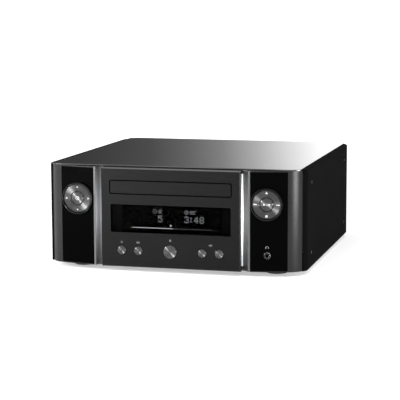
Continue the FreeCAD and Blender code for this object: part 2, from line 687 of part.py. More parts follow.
def make_phones_jack():
    """Headphone socket: a ring on a barrel through the wing and a body that sits on the front board."""
    front = bow_point(DIAL_X, 0).y - 1.0
    barrel = turned_y([(0, front), (JACK_RING_R - 0.5, front), (JACK_RING_R, front + 0.5),
                       (JACK_RING_R, WALL_Y), (0, WALL_Y)], DIAL_X, JACK_Z)
    body = block(DIAL_X - 4.6, DIAL_X + 4.6, WALL_Y - 3.0, BOARD_Y, JACK_Z - 4.6, JACK_Z + 4.6)
    jack = fused([barrel, body])
    return jack.cut(rod_y(JACK_BORE_R, front - 1, front + JACK_DEPTH, DIAL_X, JACK_Z))


# Gears

def involute(angle):
    return math.tan(angle) - angle


def gear(teeth, module, z0, z1, turn):
    """Spur gear about the origin; at turn 0 a tooth points along +X."""
    pressure = math.radians(20)
    pitch_r = module * teeth / 2
    base_r = pitch_r * math.cos(pressure)
    tip_r = pitch_r + 0.8 * module
    root_r = pitch_r - 1.1 * module
    half_tooth = math.pi / (2 * teeth) - BACKLASH / (2 * pitch_r)

    def half_angle(r):
        if r <= base_r:
            return half_tooth + involute(pressure)
        return half_tooth + involute(pressure) - involute(math.acos(base_r / r))

    flank = [(r, half_angle(r)) for r in (root_r, tip_r)]
    points = []
    for tooth in range(teeth):
        middle = 2 * math.pi * (tooth + turn) / teeth
        side = [(r, middle - a) for r, a in flank] + [(r, middle + a) for r, a in reversed(flank)]
        points += [Vector(r * math.cos(a), r * math.sin(a), z0) for r, a in side]
    face = Part.Face(Part.makePolygon(points + points[:1]))
    return face.extrude(Vector(0, 0, z1 - z0))


def rack_bar(x_pitch, x_back, y0, y1, z0, z1):
    """Straight rack whose teeth point to -X; a gap is centred on the gear's height line."""
    pitch = math.pi * RACK_MODULE
    slope = math.tan(math.radians(20))
    half_tooth = pitch / 4 - BACKLASH / 2
    tip = x_pitch - 0.8 * RACK_MODULE
    root = x_pitch + 1.1 * RACK_MODULE
    half_tip = half_tooth - 0.8 * RACK_MODULE * slope
    half_root = half_tooth + 1.1 * RACK_MODULE * slope
    points = [Vector(x_back, y0, z0), Vector(root, y0, z0)]
    first = math.ceil((y0 - GEAR_Y) / pitch)
    last = math.floor((y1 - GEAR_Y) / pitch)
    for step in range(first, last):
        middle = GEAR_Y + (step + 0.5) * pitch
        points += [Vector(root, middle - half_root, z0), Vector(tip, middle - half_tip, z0),
                   Vector(tip, middle + half_tip, z0), Vector(root, middle + half_root, z0)]
    points += [Vector(root, y1, z0), Vector(x_back, y1, z0)]
    face = Part.Face(Part.makePolygon(points + points[:1]))
    return face.extrude(Vector(0, 0, z1 - z0))


# Disc loader

TRAY_UNDER = TRAY_Z - 1.2
TRAY_RIM = TRAY_Z + 5.3
RAIL_BOTTOM = TRAY_Z - 5.0
RACK_TOP_Z = TRAY_UNDER
RACK_Z = TRAY_UNDER - 3.6
TRAY_FRONT_Y = PANEL_Y + DOOR_T
DISH_END_Y = DISC_Y + DISC_R + 8.0


def make_disc_tray():
    """Drawer with a stepped dish for two disc sizes, a slot for the drive, side rails and a rack."""
    wall_half = TRAY_HALF - 2.0
    parts = [
        block(-TRAY_HALF, TRAY_HALF, TRAY_FRONT_Y + 2.0, DISH_END_Y, TRAY_UNDER, TRAY_RIM),
        block(-wall_half, wall_half, TRAY_FRONT_Y, TRAY_FRONT_Y + 2.0, RAIL_BOTTOM, TRAY_RIM),
        block(-TRAY_HALF, -TRAY_HALF + 8.0, DISH_END_Y, TRAY_REAR_Y, TRAY_UNDER, TRAY_RIM),
        block(RACK_X - 1.0, TRAY_HALF, DISH_END_Y, TRAY_REAR_Y, TRAY_UNDER, TRAY_RIM),
        block(-TRAY_HALF, -TRAY_HALF + 1.8, TRAY_FRONT_Y + 2.0, TRAY_REAR_Y, RAIL_BOTTOM, TRAY_UNDER),
        block(TRAY_HALF - 1.8, TRAY_HALF, TRAY_FRONT_Y + 2.0, TRAY_REAR_Y, RAIL_BOTTOM, TRAY_UNDER),
        rack_bar(RACK_X, RACK_X + 4.0, TRAY_FRONT_Y + 2.0, TRAY_REAR_Y, RACK_Z, RACK_TOP_Z),
    ]
    tray = fused(parts)
    slot = rounded_z(-SLOT_HALF, SLOT_HALF, DISC_Y - 20.0, DISC_Y + DISC_R + 1.0, 0, HEIGHT, 6.0)
    cuts = [
        rod_z(DISC_R + GAP, TRAY_RIM - 3.3, HEIGHT, 0, DISC_Y),
        rod_z(SMALL_DISC_R + GAP, TRAY_RIM - 4.3, HEIGHT, 0, DISC_Y),
        slot,
    ]
    return tray.cut(cuts)


DRIVE_HALF = 26.0
DRIVE_FRONT_Y = DISC_Y - 13.0
DRIVE_REAR_Y = DISC_Y + 109.0
TRAVERSE_Z = TRAY_Z - 15.2
TRAVERSE_POSTS = [(x, y) for x in (-29.0, 29.0) for y in (DISC_Y - 7.0, DISC_Y + 85.0)]
LOADER_REAR_Y = TRAY_REAR_Y + 6.0
FLOOR_T = 2.0
CLAMP_Z = TRAY_RIM + 2.1


def make_loader_frame():
    """Moulded frame: floor with the drive's opening, two channel rails for the tray, pins, posts and legs."""
    floor_top = LOADER_FLOOR + FLOOR_T
    rail_inner = TRAY_HALF + 0.4
    ledge = TRAY_HALF - 3.5
    parts = [block(-LOADER_HALF, LOADER_HALF, LOADER_FRONT_Y, LOADER_REAR_Y, LOADER_FLOOR, floor_top)]
    for sign in (-1, 1):
        for inner, z0, z1 in ((rail_inner, LOADER_FLOOR, CLAMP_Z), (ledge, RAIL_BOTTOM - GAP - 2.0, RAIL_BOTTOM - GAP),
                              (ledge, TRAY_RIM + GAP, CLAMP_Z)):
            x0, x1 = sorted((sign * inner, sign * LOADER_HALF))
            parts.append(block(x0, x1, LOADER_FRONT_Y, LOADER_REAR_Y, z0, z1))
        for y in (LOADER_FRONT_Y + 2.0, LOADER_REAR_Y - 10.0):
            x0, x1 = sorted((sign * (LOADER_HALF - 8.0), sign * LOADER_HALF))
            parts.append(block(x0, x1, y, y + 8.0, FLOOR_TOP, LOADER_FLOOR))
    parts += [rod_z(2.4, floor_top, TRAVERSE_Z, x, y) for x, y in TRAVERSE_POSTS]
    parts.append(rod_z(2.0, floor_top, TRAY_UNDER - 0.5, GEAR_X, GEAR_Y))
    parts.append(rod_z(3.4, floor_top, WHEEL_Z - 0.2, GEAR_X, GEAR_Y))
    parts.append(rod_z(1.5, floor_top, WHEEL_Z + 4.2, PULLEY_X, GEAR_Y))
    parts.append(rod_z(2.6, floor_top, PULLEY_Z - 0.2, PULLEY_X, GEAR_Y))
    frame = fused(parts)
    opening = block(-DRIVE_HALF, DRIVE_HALF, DRIVE_FRONT_Y, DRIVE_REAR_Y, LOADER_FLOOR - 1, floor_top + 1)
    return frame.cut([opening, rod_z(1.8, LOADER_FLOOR - 1, floor_top + 1, MOTOR_X, GEAR_Y)])


PULLEY_Z = LOADER_FLOOR + 4.0
PULLEY_T = 3.4
WHEEL_Z = PULLEY_Z + PULLEY_T + 0.6
WHEEL_T = 3.6


def make_loading_gear():
    """Double gear: the lower wheel is driven by the pulley gear, the upper one drives the rack."""
    hub_top = RACK_Z + 3.0
    wheel = gear(WHEEL_TEETH, TRAIN_MODULE, WHEEL_Z, WHEEL_Z + WHEEL_T, 0)
    upper = gear(RACK_GEAR_TEETH, RACK_MODULE, RACK_Z, hub_top, 0)
    hub = rod_z(6.0, WHEEL_Z, hub_top, 0, 0)
    body = fused([wheel, upper, hub]).cut(rod_z(2.0 + FIT, 0, HEIGHT, 0, 0))
    return body.translated(Vector(GEAR_X, GEAR_Y, 0))


def grooved_pulley(r, z0):
    """Pulley with a square groove for the belt."""
    lip = r + BELT_T + 0.2
    profile = [(0, z0), (lip, z0), (lip, z0 + 1.0), (r, z0 + 1.0), (r, z0 + PULLEY_T - 1.0),
               (lip, z0 + PULLEY_T - 1.0), (lip, z0 + PULLEY_T), (0, z0 + PULLEY_T)]
    return turned_z(profile, 0, 0)


def make_pulley_gear():
    """Belt pulley with a pinion on top; half a tooth of turn puts a gap towards the wheel."""
    pinion = gear(PINION_TEETH, TRAIN_MODULE, PULLEY_Z + PULLEY_T, WHEEL_Z + WHEEL_T + 0.4, 0.5)
    body = fused([grooved_pulley(PULLEY_R, PULLEY_Z), pinion]).cut(rod_z(1.5 + FIT, 0, HEIGHT, 0, 0))
    return body.translated(Vector(PULLEY_X, GEAR_Y, 0))


def make_motor_pulley():
    """Small pulley on the motor's shaft."""
    shaft = rod_z(1.0, LOADER_FLOOR - 8.0, PULLEY_Z + 0.1, 0, 0)
    return fused([grooved_pulley(MOTOR_PULLEY_R, PULLEY_Z), shaft]).translated(Vector(MOTOR_X, GEAR_Y, 0))


def belt_outline(growth):
    """Loop round both pulleys: two arcs joined by the outer tangents."""
    r1 = PULLEY_R + growth
    r2 = MOTOR_PULLEY_R + growth
    lean = math.asin((r1 - r2) / (PULLEY_X - MOTOR_X))

    def at(x, r, angle):
        return Vector(x + r * math.cos(angle), GEAR_Y + r * math.sin(angle), 0)

    up = math.pi / 2 + lean
    return [
        arc(at(PULLEY_X, r1, up), at(PULLEY_X, r1, 0), at(PULLEY_X, r1, -up)),
        line(at(PULLEY_X, r1, -up), at(MOTOR_X, r2, -up)),
        arc(at(MOTOR_X, r2, -up), at(MOTOR_X, r2, math.pi), at(MOTOR_X, r2, up)),
        line(at(MOTOR_X, r2, up), at(PULLEY_X, r1, up)),
    ]


def make_loading_belt():
    z0 = PULLEY_Z + 1.1
    z1 = PULLEY_Z + PULLEY_T - 1.1
    return slab(belt_outline(BELT_T), z0, z1).cut(slab(belt_outline(0.1), z0 - 1, z1 + 1))


def make_loading_motor():
    """Upright motor under the loader's floor."""
    top = LOADER_FLOOR
    motor = rod_z(10.5, top - 20.0, top, MOTOR_X, GEAR_Y)
    return motor.cut(rod_z(1.0 + FIT, top - 9.0, top + 1, MOTOR_X, GEAR_Y))


# Disc drive

ROD_X = 20.0
ROD_Z = TRAVERSE_Z - 3.0
SCREW_X = -11.0
SCREW_Z = TRAVERSE_Z - 7.5
SCREW_R = 1.4
SLED_Y = DISC_Y + 18.5
SLED_L = 20.0
LENS_Y = DISC_Y + 24.0
TRAVERSE_T = 2.0
SPINDLE_TOP = TRAVERSE_Z


def make_traverse_plate():
    """Drive chassis: a plate with the sled's opening, blocks for the rods and the motor's flange."""
    z1 = TRAVERSE_Z + TRAVERSE_T
    y0 = DISC_Y - 15.0
    y1 = DISC_Y + 91.0
    parts = [block(-32, 32, y0, y1, TRAVERSE_Z, z1)]
    for y in (SLED_Y - 6.5, y1 - 6.5):
        for x in (-ROD_X, ROD_X):
            parts.append(block(x - 3, x + 3, y, y + 5.0, ROD_Z - 2.4, TRAVERSE_Z))
    parts.append(block(SCREW_X - 4, SCREW_X + 4, SLED_Y - 6.5, SLED_Y - 1.5, SCREW_Z - 3, TRAVERSE_Z))
    parts.append(block(SCREW_X - 7, SCREW_X + 7, y1 - 1.5, y1, SCREW_Z - 6, z1))
    plate = fused(parts)
    cuts = [
        rounded_z(-16.6, 16.6, SLED_Y - 1.5, DISC_Y + 82.0, TRAVERSE_Z - 1, z1 + 1, 2.0),
        rod_z(5.0, TRAVERSE_Z - 1, z1 + 1, 0, DISC_Y),
        rod_y(SCREW_R + FIT, SLED_Y - 8, y1 + 1, SCREW_X, SCREW_Z),
    ]
    cuts += [rod_y(1.5, SLED_Y - 5.5, y1 - 2.0, x, ROD_Z) for x in (-ROD_X, ROD_X)]
    return plate.cut(cuts)


def make_guide_rods():
    rods = [rod_y(1.5, SLED_Y - 5.5, DISC_Y + 89.0, x, ROD_Z) for x in (-ROD_X, ROD_X)]
    return Part.makeCompound(rods)


def make_spindle_motor():
    motor = rod_z(12.0, SPINDLE_TOP - 11.0, SPINDLE_TOP, 0, DISC_Y)
    return motor.cut(rod_z(1.0 + FIT, SPINDLE_TOP - 9.0, SPINDLE_TOP + 1, 0, DISC_Y))


def make_turntable():
    """Disc seat with its centring cone, on the motor's shaft."""
    seat = TRAY_Z - 4.2
    profile = [(0, SPINDLE_TOP - 8.5), (1.0, SPINDLE_TOP - 8.5), (1.0, seat - 2.0), (15.0, seat - 2.0),
               (15.0, seat), (7.4, seat), (6.2, seat + 2.0), (0, seat + 2.0)]
    return turned_z(profile, 0, DISC_Y)


def make_sled():
    """Pickup sled: a block on two rods with a nut on the lead screw and two yokes beside the lens."""
    y0 = SLED_Y
    y1 = SLED_Y + SLED_L
    top = TRAVERSE_Z + 6.0
    bottom = SCREW_Z + SCREW_R + 0.7
    parts = [
        block(-15.8, 15.8, y0, y1, bottom, top),
        block(-ROD_X - 2.6, ROD_X + 2.6, y0, y1 - 2, bottom, ROD_Z + 2.4),
        block(SCREW_X - 3, SCREW_X + 3, y0 + 6, y0 + 14, SCREW_Z - 2.4, bottom),
        block(6.2, 8.2, LENS_Y - 4, LENS_Y + 4, top, top + 3.5),
        block(-8.2, -6.2, LENS_Y - 4, LENS_Y + 4, top, top + 3.5),
    ]
    cuts = [rod_y(1.5 + FIT, y0 - 1, y1 + 1, x, ROD_Z) for x in (-ROD_X, ROD_X)]
    cuts.append(rod_y(SCREW_R + FIT, y0 - 1, y1 + 1, SCREW_X, SCREW_Z))
    return fused(parts).cut(cuts)


def make_lens():
    """Objective lens in its small holder, hung between the yokes."""
    z0 = TRAVERSE_Z + 6.5
    holder = block(-5.7, 5.7, LENS_Y - 4, LENS_Y + 4, z0, z0 + 2.4)
    dome = turned_z([(0, z0 + 2.4), (2.6, z0 + 2.4), (1.8, z0 + 3.3), (0, z0 + 3.3)], 0, LENS_Y)
    return fused([holder, dome])


def make_lead_screw():
    return rod_y(SCREW_R, SLED_Y - 6.0, DISC_Y + 94.0, SCREW_X, SCREW_Z)


def make_sled_motor():
    y0 = DISC_Y + 91.0
    motor = rod_y(5.5, y0, y0 + 16.0, SCREW_X, SCREW_Z)
    return motor.cut(rod_y(SCREW_R + FIT, y0 - 1, y0 + 3.5, SCREW_X, SCREW_Z))


def make_clamp_bridge():
    """Steel strap over the tray that carries the clamp puck."""
    strap_z = CLAMP_Z + 1.4
    parts = [block(-LOADER_HALF, LOADER_HALF, DISC_Y - 20, DISC_Y + 20, strap_z, strap_z + 1.2)]
    for sign in (-1, 1):
        x0, x1 = sorted((sign * (LOADER_HALF - 7.0), sign * LOADER_HALF))
        parts.append(block(x0, x1, DISC_Y - 20, DISC_Y + 20, CLAMP_Z, strap_z))
    return fused(parts).cut(rod_z(14.4, CLAMP_Z, strap_z + 2, 0, DISC_Y))


def make_clamp_puck():
    """Magnetic puck that hangs by its flange in the bridge."""
    strap_top = CLAMP_Z + 2.6
    low = TRAY_RIM + 1.5
    profile = [(0, low), (13.2, low), (13.9, low + 0.7), (13.9, strap_top + GAP), (16.8, strap_top + GAP),
               (16.8, strap_top + 2.0), (0, strap_top + 2.0)]
    return turned_z(profile, 0, DISC_Y)


# Electronics

BOARD_LEVEL = FLOOR_TOP + 8.0


def standoffs(places):
    return [block(x - 2.5, x + 2.5, y - 2.5, y + 2.5, FLOOR_TOP, BOARD_LEVEL) for x, y in places]


def make_power_supply():
    """Power board along the left side with its transformer, mains capacitor, choke and small parts."""
    x0 = 10.0 - HALF
    x1 = -LOADER_HALF - 7.0
    y0 = -40.0
    y1 = REAR_PANEL_Y - 20.0
    top = BOARD_LEVEL + BOARD_T
    middle = (x0 + x1) / 2
    parts = [
        block(x0, x1, y0, y1, BOARD_LEVEL, top),
        block(middle - 17, middle + 17, 10, 38, top, top + 26),
        block(middle - 12, middle + 12, 6, 42, top + 3, top + 22),
        rod_z(11.0, top, top + 34, middle - 8, 68),
        block(middle + 8, middle + 22, 58, 80, top, top + 16),
        rod_z(5.0, top, top + 18, middle - 14, -22),
        rod_z(5.0, top, top + 18, middle, -22),
        block(middle + 14, middle + 17, -34, -6, top, top + 30),
    ]
    places = [(x, y) for x in (x0 + 5, x1 - 5) for y in (y0 + 5, y1 - 5)]
    return fused(parts + standoffs(places))


def make_main_board():
    """Amplifier and signal board across the rear, with chips, coils and capacitors."""
    x0 = -LOADER_HALF
    x1 = HALF - 12.0
    y0 = LOADER_REAR_Y + 8.0
    y1 = REAR_PANEL_Y - 12.0
    top = BOARD_LEVEL + BOARD_T
    parts = [
        block(x0, x1, y0, y1, BOARD_LEVEL, top),
        block(64, 84, y0 + 12, y0 + 32, top, top + 2.0),
        block(94, 106, y0 + 20, y0 + 32, top, top + 1.6),
        block(-60, -46, y0 + 30, y0 + 44, top, top + 9.0),
    ]
    parts += [rod_z(6.0, top, top + 20, x, y0 + 14) for x in (-58, -44)]
    parts += [rod_z(4.0, top, top + 12, x, y1 - 38.5) for x in (66, 78, 90)]
    places = [(x, y) for x in (x0 + 5, x1 - 5) for y in (y0 + 5, y1 - 5)]
    return fused(parts + standoffs(places))


def make_heat_sink():
    """Finned block over the output stage."""
    base_z = BOARD_LEVEL + BOARD_T
    y0 = LOADER_REAR_Y + 20.0
    y1 = y0 + 34.0
    base = block(-30, 40, y0, y1, base_z, base_z + 5)
    fins = [block(x, x + 2.0, y0, y1, base_z + 5, base_z + 34) for x in range(-30, 40, 8)]
    return fused([base] + fins)


# Rear connectors

CONNECTOR_Z = BODY_BOTTOM + 33.0
INLET_X = 38.0 - HALF
INLET_HALF_W = 13.0
INLET_HALF_H = 9.0
POSTS_X = -34.0
CUP_HALF_W = 38.0
CUP_HALF_H = 14.0
LINE_X = 44.0
NETWORK_X = 84.0
NETWORK_HALF_W = 8.0
NETWORK_HALF_H = 7.0
AERIAL_X = 107.0
AERIAL_R = 4.75
CUP_FLOOR_Y = REAR_PANEL_Y - 6.0
CAP_NAMES = ("cap_left_black", "cap_left_red", "cap_right_black", "cap_right_red")
CAP_XS = [POSTS_X + (step - 1.5) * POST_PITCH for step in range(4)]


def line_jack_places():
    return [(LINE_X + column * LINE_PITCH / 2, CONNECTOR_Z + row * LINE_PITCH / 2)
            for column in (-1, 1) for row in (-1, 1)]


def make_power_inlet():
    """Two-pin appliance inlet with its stadium-shaped well."""
    y_front = REAR_PANEL_Y + 1.5
    body = block(*connector_box(INLET_X, INLET_HALF_W, INLET_HALF_H, REAR_PANEL_Y - 18.0, REAR_PANEL_Y))
    flange = block(*connector_box(INLET_X, INLET_HALF_W + 3, INLET_HALF_H + 2, REAR_PANEL_Y, y_front))
    well_y = REAR_PANEL_Y - 13.0
    well = rounded_y(*connector_box(INLET_X, 9.7, 5.3, well_y, y_front + 1), 5.2)
    pins = [rod_y(1.15, well_y - 1, REAR_PANEL_Y - 1.0, INLET_X + dx, CONNECTOR_Z) for dx in (-4.3, 4.3)]
    return fused([fused([body, flange]).cut(well)] + pins)


def make_speaker_terminals():
    """Recessed cup with four threaded posts."""
    rim_y = REAR_PANEL_Y + 1.0
    body = block(*connector_box(POSTS_X, CUP_HALF_W, CUP_HALF_H, CUP_FLOOR_Y - 3.0, rim_y))
    rim = block(*connector_box(POSTS_X, CUP_HALF_W + 2, CUP_HALF_H + 2, REAR_PANEL_Y, rim_y))
    hollow = block(*connector_box(POSTS_X, CUP_HALF_W - 2, CUP_HALF_H - 2, CUP_FLOOR_Y, rim_y + 1))
    cup = fused([body, rim]).cut(hollow)
    posts = [rod_y(POST_R, CUP_FLOOR_Y - 1.0, DEPTH / 2 - 2.2, x, CONNECTOR_Z) for x in CAP_XS]
    return fused([cup] + posts)


def terminal_cap_at(x):
    """Screw cap on a speaker post, with twelve flutes round it."""
    y0 = CUP_FLOOR_Y + 2.0
    y1 = DEPTH / 2
    points = []
    for step in range(2 * CAP_FLUTES):
        r = CAP_R - 0.7 * (step % 2)
        angle = math.pi * step / CAP_FLUTES
        points.append(Vector(x + r * math.cos(angle), y0, CONNECTOR_Z + r * math.sin(angle)))
    grip = Part.Face(Part.makePolygon(points + points[:1])).extrude(Vector(0, y1 - y0, 0))
    return grip.cut(rod_y(POST_R + FIT, y0 - 1, y1 - 1.9, x, CONNECTOR_Z))


def barrel_at(r, x, z, inner_y, end_y):
    """Round jack barrel with a low collar where it comes through the panel."""
    return fused([rod_y(r, inner_y, end_y, x, z), rod_y(r + JACK_COLLAR, inner_y, REAR_PANEL_Y + 0.5, x, z)])


def make_rear_jacks():
    """Two bodies behind the panel; four line jacks stand on one and the aerial socket on the other."""
    inner_y = REAR_PANEL_Y - CHASSIS_T
    end_y = REAR_PANEL_Y + 8.5
    solids = [block(*connector_box(LINE_X, LINE_PITCH, LINE_PITCH, inner_y - 14.0, inner_y)),
              block(*connector_box(AERIAL_X, 7.0, 7.0, inner_y - 12.0, inner_y)),
              barrel_at(AERIAL_R, AERIAL_X, CONNECTOR_Z, inner_y, end_y)]
    for x, z in line_jack_places():
        barrel = barrel_at(LINE_BARREL_R, x, z, inner_y, end_y)
        solids.append(barrel.cut(rod_y(LINE_WELL_R, end_y - LINE_WELL_DEPTH, end_y + 1, x, z)))
    return Part.makeCompound(solids)


def make_network_jack():
    """Square network socket with a latch notch under its well."""
    y_front = REAR_PANEL_Y + 0.5
    body = block(*connector_box(NETWORK_X, NETWORK_HALF_W, NETWORK_HALF_H, REAR_PANEL_Y - 21.0, y_front))
    well = block(*connector_box(NETWORK_X, 5.9, 4.2, y_front - 12.0, y_front + 1))
    notch = block(NETWORK_X - 3.0, NETWORK_X + 3.0, y_front - 12.0, y_front + 1,
                  CONNECTOR_Z - 6.0, CONNECTOR_Z - 4.0)
    return body.cut([well, notch])


# All nodes

def build():
    nodes = {
        "top_plate": make_top_plate(),
        "cover": make_cover(),
        "chassis": make_chassis(),
        "rear_panel": make_rear_panel(),
        "feet": make_feet(),
        "foot_pads": make_foot_pads(),
        "front_frame": make_front_frame(),
        "front_board": make_front_board(),
        "wing_left": make_wing_left(),
        "wing_right": make_wing_right(),
        "inlay_left": make_inlay_left(),
        "inlay_right": make_inlay_right(),
        "cheek_left": mirrored(cheek_right()),
        "cheek_right": cheek_right(),
        "light_guides": make_light_guides(),
        "centre_panel": make_centre_panel(),
        "display_window": make_display_window(),
        "display_module": make_display_module(),
        "tray_door": make_tray_door(),
        "dial_bezels": Part.makeCompound([bezel_at(-DIAL_X), bezel_at(DIAL_X)]),
        "gimbal_left": gimbal_at(-DIAL_X),
        "gimbal_right": gimbal_at(DIAL_X),
        "pad_left": pad_at(-DIAL_X),
        "pad_right": pad_at(DIAL_X),
        "enter_button": centre_button_at(-DIAL_X),
        "play_button": centre_button_at(DIAL_X),
        "phones_jack": make_phones_jack(),
        "disc_tray": make_disc_tray(),
        "loader_frame": make_loader_frame(),
        "loading_gear": make_loading_gear(),
        "pulley_gear": make_pulley_gear(),
        "motor_pulley": make_motor_pulley(),
        "loading_belt": make_loading_belt(),
        "loading_motor": make_loading_motor(),
        "traverse_plate": make_traverse_plate(),
        "guide_rods": make_guide_rods(),
        "spindle_motor": make_spindle_motor(),
        "turntable": make_turntable(),
        "sled": make_sled(),
        "lens": make_lens(),
        "lead_screw": make_lead_screw(),
        "sled_motor": make_sled_motor(),
        "clamp_bridge": make_clamp_bridge(),
        "clamp_puck": make_clamp_puck(),
        "power_supply": make_power_supply(),
        "main_board": make_main_board(),
        "heat_sink": make_heat_sink(),
        "power_inlet": make_power_inlet(),
        "speaker_terminals": make_speaker_terminals(),
        "rear_jacks": make_rear_jacks(),
        "network_jack": make_network_jack(),
    }
    for name in BUTTON_XS:
        nodes[name] = make_push_button(name)
    for name, x in zip(CAP_NAMES, CAP_XS):
        nodes[name] = terminal_cap_at(x)
    return nodes


os.makedirs("parts", exist_ok=True)
for node_name, shape in build().items():
    shape.exportStep("parts/" + node_name + ".step")
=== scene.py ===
import json
import math

import bmesh
import bpy
from mathutils import Matrix, Vector


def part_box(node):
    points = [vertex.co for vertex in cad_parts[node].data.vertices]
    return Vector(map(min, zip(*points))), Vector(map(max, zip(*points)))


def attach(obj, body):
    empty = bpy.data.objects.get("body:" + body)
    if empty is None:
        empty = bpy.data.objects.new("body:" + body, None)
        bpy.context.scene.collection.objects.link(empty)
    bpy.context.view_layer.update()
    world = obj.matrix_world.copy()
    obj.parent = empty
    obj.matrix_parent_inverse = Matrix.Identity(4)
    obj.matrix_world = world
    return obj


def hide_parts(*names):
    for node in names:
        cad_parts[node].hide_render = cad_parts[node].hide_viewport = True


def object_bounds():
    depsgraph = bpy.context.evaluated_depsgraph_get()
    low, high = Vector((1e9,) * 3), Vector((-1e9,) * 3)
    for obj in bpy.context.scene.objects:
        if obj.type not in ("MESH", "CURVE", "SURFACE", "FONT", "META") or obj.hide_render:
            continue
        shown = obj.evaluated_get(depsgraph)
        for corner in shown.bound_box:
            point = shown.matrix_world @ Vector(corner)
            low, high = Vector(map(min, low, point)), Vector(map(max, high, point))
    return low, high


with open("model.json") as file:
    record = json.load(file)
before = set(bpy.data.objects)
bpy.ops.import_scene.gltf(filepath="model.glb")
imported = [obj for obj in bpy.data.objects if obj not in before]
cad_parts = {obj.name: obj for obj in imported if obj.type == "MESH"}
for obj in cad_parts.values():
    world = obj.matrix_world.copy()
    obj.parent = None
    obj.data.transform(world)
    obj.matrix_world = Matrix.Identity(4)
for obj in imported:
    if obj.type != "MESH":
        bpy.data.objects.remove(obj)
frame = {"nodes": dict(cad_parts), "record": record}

# Compact disc receiver on a pale studio floor. The sections follow its assembly, from the shell
# to the rear sockets. Sizes in the sections are millimetres; MM turns them into the frame's metres.

cad_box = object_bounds()
scene = bpy.context.scene
record = frame["record"]
body_of = {node: body for body, nodes in record["behaviour"]["bodies"].items() for node in nodes}
MM = 0.001


# Camera: it stands to the right of the receiver and a little above it, with a long lens, and looks
# down at the front by eight degrees.

camera_place = Vector((0.41274, -1.57206, 0.28892))
camera_yaw = math.radians(14.985)
camera_pitch = math.radians(8.136)
camera_roll = math.radians(-0.186)

forward = Vector((-math.sin(camera_yaw) * math.cos(camera_pitch),
                  math.cos(camera_yaw) * math.cos(camera_pitch),
                  -math.sin(camera_pitch)))
level = Vector((math.cos(camera_yaw), math.sin(camera_yaw), 0))
upright = level.cross(forward)
right_hand = level * math.cos(camera_roll) + upright * math.sin(camera_roll)
head_up = upright * math.cos(camera_roll) - level * math.sin(camera_roll)

camera_data = bpy.data.cameras.new("camera")
camera_data.lens = 130.1
camera_data.sensor_width = 36.0
camera_data.shift_x = 0.0004
camera_data.clip_start = 0.05
camera_data.clip_end = 100.0
camera = bpy.data.objects.new("camera", camera_data)
scene.collection.objects.link(camera)
camera.matrix_world = Matrix.Translation(camera_place) @ Matrix(
    (right_hand, head_up, -forward)).transposed().to_4x4()
scene.camera = camera
scene.view_settings.view_transform = "Standard"


# Studio: a wide pale floor, a large soft lamp overhead and four smaller ones at the left, front,
# right and upper right. The room round them is dim in front, bright behind on the right and dark
# behind on the left.

def math_node(tree, operation, first, second=None, third=None, clamp=False):
    """A Math node; each input is a number or a socket."""
    node = tree.nodes.new("ShaderNodeMath")
    node.operation = operation
    node.use_clamp = clamp
    for place, value in enumerate((first, second, third)):
        if value is None:
            continue
        if hasattr(value, "is_linked"):
            tree.links.new(value, node.inputs[place])
        else:
            node.inputs[place].default_value = value
    return node.outputs[0]


floor_mesh = bpy.data.meshes.new("studio_floor")
floor_half = 900.0
floor_corners = [(x * floor_half, y * floor_half, 0) for x, y in ((-1, -1), (1, -1), (1, 1), (-1, 1))]
floor_mesh.from_pydata(floor_corners, [], [(0, 1, 2, 3)])
studio_floor = bpy.data.objects.new("studio_floor", floor_mesh)
scene.collection.objects.link(studio_floor)

floor_finish = bpy.data.materials.new("pale_floor")
floor_finish.use_nodes = True
floor_nodes = floor_finish.node_tree
floor_shader = floor_nodes.nodes["Principled BSDF"]
floor_shader.inputs["Base Color"].default_value = (0.72, 0.72, 0.72, 1)
floor_shader.inputs["Roughness"].default_value = 0.9
floor_shader.inputs["Specular IOR Level"].default_value = 0.0
floor_shader.inputs["Emission Color"].default_value = (1, 1, 1, 1)

# The floor glows only for rays that see it, and more with its distance from the receiver
near_glow, added_glow = 0.35, 0.7
glow_rise, glow_offset = 0.9, -0.35
light_path = floor_nodes.nodes.new("ShaderNodeLightPath")
seen = math_node(floor_nodes, "MAXIMUM", light_path.outputs["Is Camera Ray"], light_path.outputs["Is Glossy Ray"])
seen = math_node(floor_nodes, "MAXIMUM", seen, light_path.outputs["Is Transmission Ray"])
floor_place = floor_nodes.nodes.new("ShaderNodeTexCoord")
floor_reach = floor_nodes.nodes.new("ShaderNodeVectorMath")
floor_reach.operation = "LENGTH"
floor_nodes.links.new(floor_place.outputs["Object"], floor_reach.inputs[0])
far_share = math_node(floor_nodes, "MULTIPLY_ADD", floor_reach.outputs["Value"], glow_rise, glow_offset,
                      clamp=True)
glow = math_node(floor_nodes, "MULTIPLY", seen,
                 math_node(floor_nodes, "MULTIPLY_ADD", far_share, added_glow, near_glow))
floor_nodes.links.new(glow, floor_shader.inputs["Emission Strength"])
floor_mesh.materials.append(floor_finish)


def soft_lamp(name, place, target, width, height, radiance, along=(0, 0, 1)):
    """Rectangular soft lamp that faces a target, with its height along a direction."""
    data = bpy.data.lights.new(name, "AREA")
    data.shape = "RECTANGLE"
    data.size = width
    data.size_y = height
    data.energy = radiance * math.pi * width * height
    lamp = bpy.data.objects.new(name, data)
    scene.collection.objects.link(lamp)
    back = (Vector(place) - Vector(target)).normalized()
    rise = (Vector(along) - Vector(along).dot(back) * back).normalized()
    lamp.matrix_world = Matrix.Translation(place) @ Matrix((rise.cross(back), rise, back)).transposed().to_4x4()
    lamp.visible_camera = False
    lamp.visible_transmission = False


